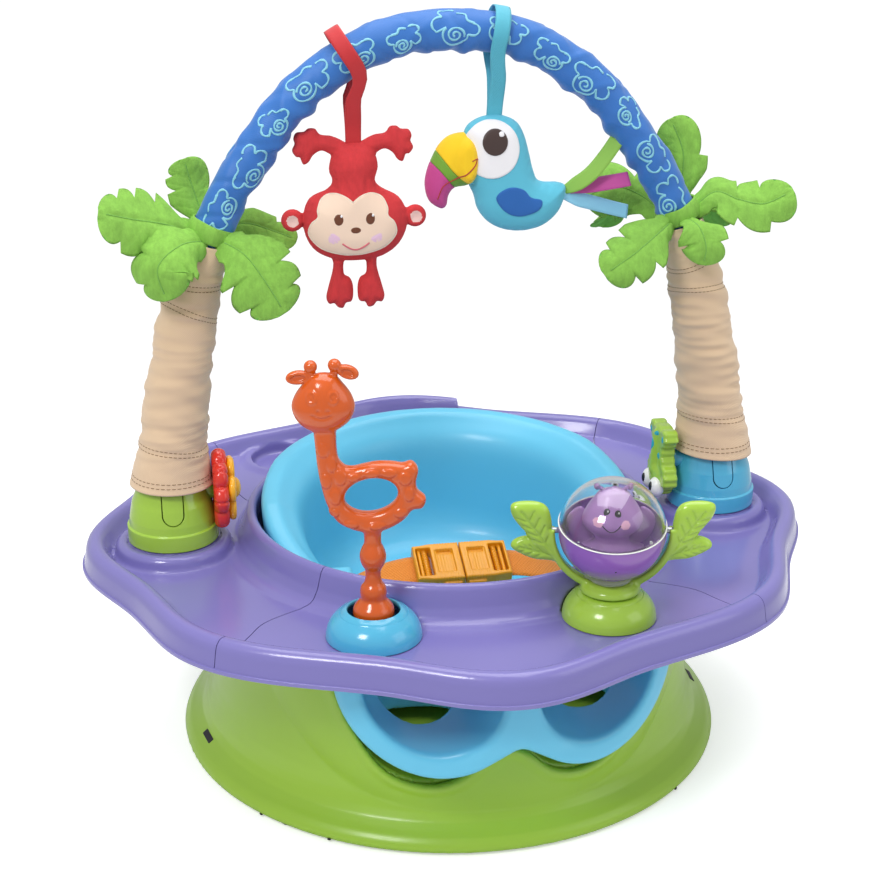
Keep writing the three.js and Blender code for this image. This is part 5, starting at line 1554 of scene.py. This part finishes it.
def sleeve_radius(s, turn):
    """The gathered sleeve's radius; its folds calm down where the two ribbons wrap it."""
    inner = 0.5 - 0.5 * np.cos(turn)
    front = np.sin(turn)
    phase = 0.9 * np.sin(turn * 1.5 + s * 0.02) + 1.3 * np.sin(s * 0.043)
    gathers = np.sin(s * 0.21 + phase * 1.6) * 0.9 + np.sin(s * 0.37 + 2.1 * phase + front) * 0.55
    pulls = np.maximum(0, np.sin(s * 0.113 + 0.7 * np.sin(s * 0.031))) ** 3 * np.sin(turn * 3 + s * 0.05)
    crease = np.maximum(0, np.sin(s * 0.15 + 2.2 * turn + 2 * np.sin(s * 0.037))) ** 5
    crease = crease - np.maximum(0, np.sin(s * 0.19 - 1.7 * turn + 2.6 * np.sin(s * 0.029))) ** 6
    folds = 0.6 * crease + inner ** 1.5 * (1.1 * gathers + 0.5) + 0.5 * pulls
    folds = folds + 0.22 * np.sin(s * 0.31 + turn * 2)
    calm = sum(np.exp(-((s - np.interp(x, ARCH_P[:, 0], ARCH_S)) / 16) ** 2) for x in (-65, 31))
    return SLEEVE_R + (folds + 0.4 * front * np.sin(s * 0.09)) * (1 - 0.75 * calm)


def cloud(seed):
    """Outline and inner curl of a hand-drawn cloud, in units of its half width."""
    mirror, turn = (1, -1)[seed % 2], (0.3, -0.5, 0.9, 0.0)[seed % 4]
    bumps = [(-0.78, -0.2, 0.34, 2.2, 5.0), (-0.42, 0.42, 0.42, 1.2, 3.9), (0.38, 0.3, 0.56, -0.9, 3.0),
             (0.62, -0.46, 0.3, -2.4, 0.8)]
    outline = []
    for cx, cy, r, a, b in bumps:
        outline.append([(cx + r * math.cos(t), cy + r * math.sin(t)) for t in np.linspace(b, a, 14)])
    outline.append([(0.42, -0.72), (0.1, -0.58), (-0.2, -0.74), (-0.5, -0.5)])
    curl = [(0.38 + (0.06 + 0.36 * t) * math.cos(1 + 11 * t), 0.3 + (0.06 + 0.36 * t) * math.sin(1 + 11 * t))
            for t in np.linspace(0, 1, 40)]
    c, s = math.cos(turn), math.sin(turn)
    lines = []
    for line in (np.vstack(outline), np.array(curl)):
        line = line * (mirror, 1)
        lines.append(np.stack([line[:, 0] * c - line[:, 1] * s, line[:, 0] * s + line[:, 1] * c], 1))
    return lines


def add_sleeve():
    """The sleeve is one gathered tube; its printed clouds are thin ribbons that follow the folds."""
    total = ARCH_S[-1]
    foot = np.interp(SLEEVE_FOOT_Z, ARCH_P[:200, 1], ARCH_S[:200])
    s = np.linspace(foot, total - foot, 420)
    turn = np.arange(72) / 72 * tau
    grid_s, grid_t = np.meshgrid(s, turn, indexing="ij")
    hem = 1 - 0.12 * np.exp(-((grid_s - foot) / 4) ** 2) - 0.12 * np.exp(-((total - foot - grid_s) / 4) ** 2)
    points = on_arch(grid_s, grid_t, sleeve_radius(grid_s, grid_t) * hem)
    sleeve = make("arch_sleeve_fine", points, grid_faces(*grid_s.shape, wrap_v=True), BLUE_SATIN, "tray",
                  "blue_satin", ["arch_sleeve"])
    thicken(sleeve, 0.7)
    strips = []
    spots = np.linspace(foot + 27, total - foot - 24, 13)
    for i, at in enumerate(spots):
        for facing in (0.5 * pi, 1.5 * pi):
            size = 12.6 + 2.2 * math.sin(i * 2.3)
            drift = 0.15 if facing < pi else -0.15
            for line in cloud(i + (facing > pi)):
                line_s = at + line[:, 0] * size
                line_t = facing + line[:, 1] * size * 0.82 / SLEEVE_R + 0.25 * math.sin(i * 1.7) - drift
                smooth = spline(np.stack([line_s, line_t], 1), False, 3).T
                p, q = (on_arch(*smooth, sleeve_radius(*smooth) + lift) for lift in (0.12, 1.12))
                normal = (q - p) / np.linalg.norm(q - p, axis=1)[:, None]
                tangent = np.gradient(p, axis=0)
                across = np.cross(tangent, normal)
                width = 0.66 + 0.16 * np.sin(np.arange(len(p)) * 0.31 + i)
                strips.append(strip(p, across, width, 0.5, steps=3))
    make("sleeve_print", *join(strips), CLOUD_PRINT, "tray", "blue_satin")


# Radius of a trunk's cloth, as (z, radius).
TRUNK = [(193.4, 27.4), (203, 25.6), (221.5, 22.4), (249, 21.2), (294, 19), (334, 16.8), (350, 15.6),
         (359, 14.4)]


def trunk_radius(z, turn, side):
    """The slack cloth of a palm trunk: a tapering tube with rolls and puckers."""
    z0, r0 = np.array(TRUNK).T
    base = np.interp(z, z0, r0)
    slack = step01(z, 193, 225) * (1 - 0.35 * step01(z, 330, 352))
    lean = 0.8 * np.sin(turn + side)
    rolls = np.sin(z * 0.27 + 2.6 * lean + 1.6 * np.sin(z * 0.06 + side + turn)) * 0.5
    rolls = rolls + np.sin(z * 0.49 + 3.4 * lean + 2 * np.sin(turn * 2 + z * 0.03)) * 0.36
    rolls = rolls + np.sin(z * 0.13 + turn * 2) * 0.45
    rolls = rolls + np.sin(z * 0.9 + turn * 3 + np.sin(z * 0.11) * 3) * 0.16
    local = np.maximum(0, np.sin(turn * 1.5 + z * 0.045 + side)) ** 2 * np.sin(z * 0.83 + turn) * 0.5
    return base + slack * (rolls + local) + 0.5


def trunk_points(z, turn, side, extra=0.0):
    """Points on a trunk, which leans with the arch's leg inside it."""
    x0 = np.interp(z, [p[1] for p in ARCH], [p[0] for p in ARCH])
    slope = np.interp(z, [200, 260, 340], [0.02, 0.13, 0.3])
    r = trunk_radius(z, turn, side) + extra
    u, v = r * np.cos(turn), r * np.sin(turn)
    return np.stack([side * (x0 + u), ARCH_Y + v, z + u * slope], -1)


def add_trunks():
    """Both trunks, each a thickened tube of cloth with four pairs of stitch lines."""
    for side, name in ((-1, "left"), (1, "right")):
        z = np.linspace(193.6, 358.5, 180)
        turn = np.arange(84) / 84 * tau
        grid_z, grid_t = np.meshgrid(z, turn, indexing="ij")
        tilt = (-2.6 * (np.cos(grid_t) + 0.4) if side > 0 else 0) * (1 - step01(grid_z, 194, 225))
        flare = 0.6 * np.exp(-((grid_z - 194) / 1.8) ** 2)
        points = trunk_points(grid_z + np.minimum(tilt, 3), grid_t, side, flare)
        trunk = make(f"trunk_{name}_fine", points, grid_faces(*grid_z.shape, wrap_v=True), TAN_CLOTH, "tray",
                     "tan_fabric", [f"trunk_{name}"])
        thicken(trunk, 1.0)
        threads = []
        for level, slant in ((198, 0), (201, 0), (218, -2), (221, -2), (332, 3), (335, 3), (312, -4),
                             (315, -4)):
            for k in range(46):
                a = (k + np.array([0.0, 0.33, 0.66])) / 46 * tau
                zz = level + slant * np.sin(a + side) + (0 if side < 0 else -1.4 * np.cos(a) * (level < 225))
                p = trunk_points(zz, a, side, 0.12)
                p[[0, 2]] -= (trunk_points(zz, a, side, 0.62) - p)[[0, 2]] * 0.5
                threads.append(sweep(p, 0.26, 6, up=(0, 0.3, 1)))
        make(f"trunk_stitches_{name}", *join(threads), TAN_STITCH, "tray", "tan_fabric")


def leaf(path, width, across0, across1, cuts, phase, cup=0.24, curl=0.16, n=64, m=25, thick=2.8):
    """A notched plush leaf: its midrib path, half width, width directions at root and tip, and edge cuts."""
    course = spline(path, False, 16)
    run = np.r_[0, np.cumsum(np.linalg.norm(np.diff(course, axis=0), axis=1))]
    t = np.linspace(0, 1, n)
    p = np.stack([np.interp(t * run[-1], run, course[:, i]) for i in range(3)], 1)
    tangent = np.gradient(p, axis=0)
    tangent /= np.linalg.norm(tangent, axis=1)[:, None]
    across = np.array(across0, float) * (1 - t[:, None]) + np.array(across1, float) * t[:, None]
    across -= tangent * (across * tangent).sum(1)[:, None]
    across /= np.linalg.norm(across, axis=1)[:, None]
    normal = np.cross(tangent, across)
    body = np.minimum(1, 0.34 + 1.5 * t) * np.sqrt(np.clip(1 - (np.maximum(t - 0.42, 0) / 0.585) ** 4, 0, 1))
    edges = []
    for side_cuts in cuts:
        saw, start = np.zeros(n), 0.12
        for stop in list(side_cuts) + [1.0]:
            inside = (t >= start) & (t < stop)
            saw = np.where(inside, 0.36 * (1 - (t - start) / (stop - start)) ** 3, saw)
            start = stop
        edges.append(1.22 * width * body * (1 - saw * step01(t, 0.1, 0.2)))
    u, rows, s = np.linspace(-1, 1, m), [], t[:, None]
    for top, order in ((1, u), (-1, u[1:-1][::-1])):
        side = np.where(order < 0, edges[0][:, None], edges[1][:, None])
        puff = (1 - np.abs(order) ** 4) * (0.3 + 0.7 * np.clip(np.abs(order) * 6, 0, 1))
        veins = 0.4 * np.maximum(0, np.sin(tau * (6 * s - 1.3 * np.abs(order)))) ** 5 * (np.abs(order) > 0.1)
        high = top * (thick / 2 * puff * np.minimum(1, 6 * (1.02 - s)) - veins * (np.abs(order) < 1))
        lift = side * np.abs(order) ** 2 * (curl * np.sin(6 * s + 2 * order + phase) * np.abs(order) - cup)
        rows.append(p[:, None] + across[:, None] * (side * order)[..., None] + normal[:, None]
                    * (lift + high)[..., None])
    points = np.concatenate(rows, 1)
    count = points.shape[1]
    faces = [grid_faces(n, count, wrap_v=True)]
    for row in (0, n - 1):
        ids = row * count + np.arange(count)
        faces.append([[ids[i], ids[i + 1], ids[count - i - 1], ids[count - i]] for i in range(1, m - 2)])
    rib = (p + normal * thick * 0.2)[4:-4:2]
    under = np.concatenate([np.tile(np.arange(count) >= m - 1, n - 1), np.zeros(2 * (m - 3), bool)])
    return points.reshape(-1, 3), np.vstack(faces), rib, under


# Each leaf: its midrib, half width, width directions at root and tip, and the cuts of its two edges.
LEFT_LEAVES = [
    ([(-166, -2, 364), (-186, -10, 374), (-208, -16, 380), (-228, -20, 386)], 19, (0, -0.6, -0.8),
     (0.1, -0.5, -0.85), ((0.44, 0.64, 0.82), (0.5, 0.75))),
    ([(-160, 6, 368), (-165, 12, 384), (-169, 16, 398), (-172, 16, 411)], 13.5, (-0.9, -0.3, 0),
     (-1, -0.2, 0.1), ((0.5,), (0.6, 0.8))),
    ([(-162, -10, 362), (-178, -26, 364), (-193, -34, 352), (-188, -36, 331)], 20, (0.35, -0.45, -0.8),
     (0.9, -0.4, 0), ((0.6, 0.8), (0.45, 0.7))),
    ([(-152, -10, 362), (-138, -24, 356), (-126, -32, 340), (-114, -36, 319)], 21, (0.3, 0.5, 0.8),
     (0.9, 0.2, 0.38), ((0.5, 0.78), (0.55, 0.8))),
    ([(-150, 6, 366), (-134, 14, 367), (-118, 18, 361), (-100, 16, 354)], 11, (0.1, 0.6, 0.8),
     (0.1, 0.6, 0.8), ((0.6,), (0.7,))),
    ([(-152, 12, 366), (-140, 28, 370), (-130, 44, 362), (-124, 56, 346)], 17, (-0.8, 0.5, 0),
     (-0.8, 0.5, 0.2), ((0.5, 0.75), (0.55, 0.8))),
    ([(-164, 12, 364), (-179, 28, 368), (-192, 42, 360), (-200, 52, 343)], 18, (-0.7, -0.6, 0),
     (-0.7, -0.6, 0.2), ((0.5, 0.75), (0.45, 0.7)))]
RIGHT_LEAVES = [
    ([(160, 8, 368), (164, 14, 386), (165, 18, 404), (156, 20, 426)], 14.5, (-1, 0, 0), (-0.9, 0, -0.4),
     ((0.55,), (0.5, 0.72))),
    ([(166, -2, 366), (181, -6, 380), (197, -10, 375), (215, -12, 372), (234, -14, 381)], 16, (0, 0.7, 0.7),
     (-0.3, 0.6, 0.8), ((0.5, 0.74), (0.46, 0.7))),
    ([(160, -12, 364), (165, -25, 361), (168, -32, 349), (166, -33, 337)], 14, (1, 0, 0.1), (1, 0, 0.1),
     ((0.6,), (0.65,))),
    ([(150, -10, 362), (136, -24, 357), (118, -34, 347), (97, -38, 335)], 16, (0.3, -0.5, -0.8),
     (0.3, -0.5, -0.8), ((0.55, 0.78), (0.5, 0.74))),
    ([(150, 8, 364), (135, 18, 375), (118, 22, 380), (97, 22, 373)], 18, (0, -0.6, -0.8), (0.2, -0.6, -0.8),
     ((0.44, 0.7), (0.5, 0.76))),
    ([(166, 14, 364), (181, 30, 368), (194, 44, 360), (202, 54, 343)], 18, (-0.7, 0.6, 0), (-0.7, 0.6, 0.2),
     ((0.5, 0.75), (0.45, 0.7))),
    ([(150, 12, 366), (138, 30, 368), (127, 44, 360), (118, 56, 344)], 17, (-0.8, -0.6, 0), (-0.8, -0.6, 0.2),
     ((0.5, 0.75), (0.55, 0.8)))]


def add_leaves():
    """Both palms: seven plush leaves each, their midrib stitches, and a ruffled collar at their roots."""
    for side, name, leaves in ((-1, "left", LEFT_LEAVES), (1, "right", RIGHT_LEAVES)):
        whole, threads, below = [], [], []
        for k, (path, width, across0, across1, cuts) in enumerate(leaves):
            points, quads, rib, under = leaf(path, width, across0, across1, cuts, phase=k)
            whole.append((points, quads))
            below.append(under)
            threads.append(sweep(rib, 0.4, 6, up=(0.3, 0.5, 1)))
        palm = make(f"palm_leaves_{name}_fine", *join(whole), LEAF_PLUSH, "tray", "leaf_plush",
                    [f"palm_leaves_{name}"])
        palm.data.materials.append(LEAF_UNDER)
        palm.data.polygons.foreach_set("material_index", np.concatenate(below).astype(np.int32))
        s = np.interp(PALM_Z, ARCH_P[:200, 1], ARCH_S[:200])
        s = s if side < 0 else ARCH_S[-1] - s
        turn = np.arange(48) / 48 * tau
        grid_s, grid_t = np.meshgrid(np.linspace(s - 6, s + 6, 12), turn, indexing="ij")
        radius = 14.8 + 1.2 * np.sin((grid_s - s + 6) / 12 * pi) + 0.6 * np.sin(5 * grid_t)
        collar = make(f"palm_collar_{name}", on_arch(grid_s, grid_t, radius), grid_faces(12, 48, wrap_v=True),
                      LEAF_PLUSH, "tray", "leaf_plush")
        thicken(collar, 1.4)
        make(f"palm_stitches_{name}", *join(threads), LEAF_STITCH, "tray", "leaf_plush")


def finish_kept():
    """The CAD nodes that stay in view get these looks."""
    kept = {"booster_deck": GREEN, "arch_tube": WHITE}
    kept.update({f"deck_screw_{i}": STEEL for i in range(1, 5)})
    kept.update({f"seam_latch_{i}": PURPLE for i in range(1, 5)})
    for name, material in kept.items():
        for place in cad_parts[name].material_slots:
            place.material = material


for step in (add_camera, add_studio, add_base, add_seat, add_tray, add_sockets, add_domes, add_giraffe,
             add_ball, add_flower, add_gecko, add_belt, add_sleeve, add_trunks, add_leaves, add_monkey,
             add_toucan, add_hangers, finish_kept):
    step()
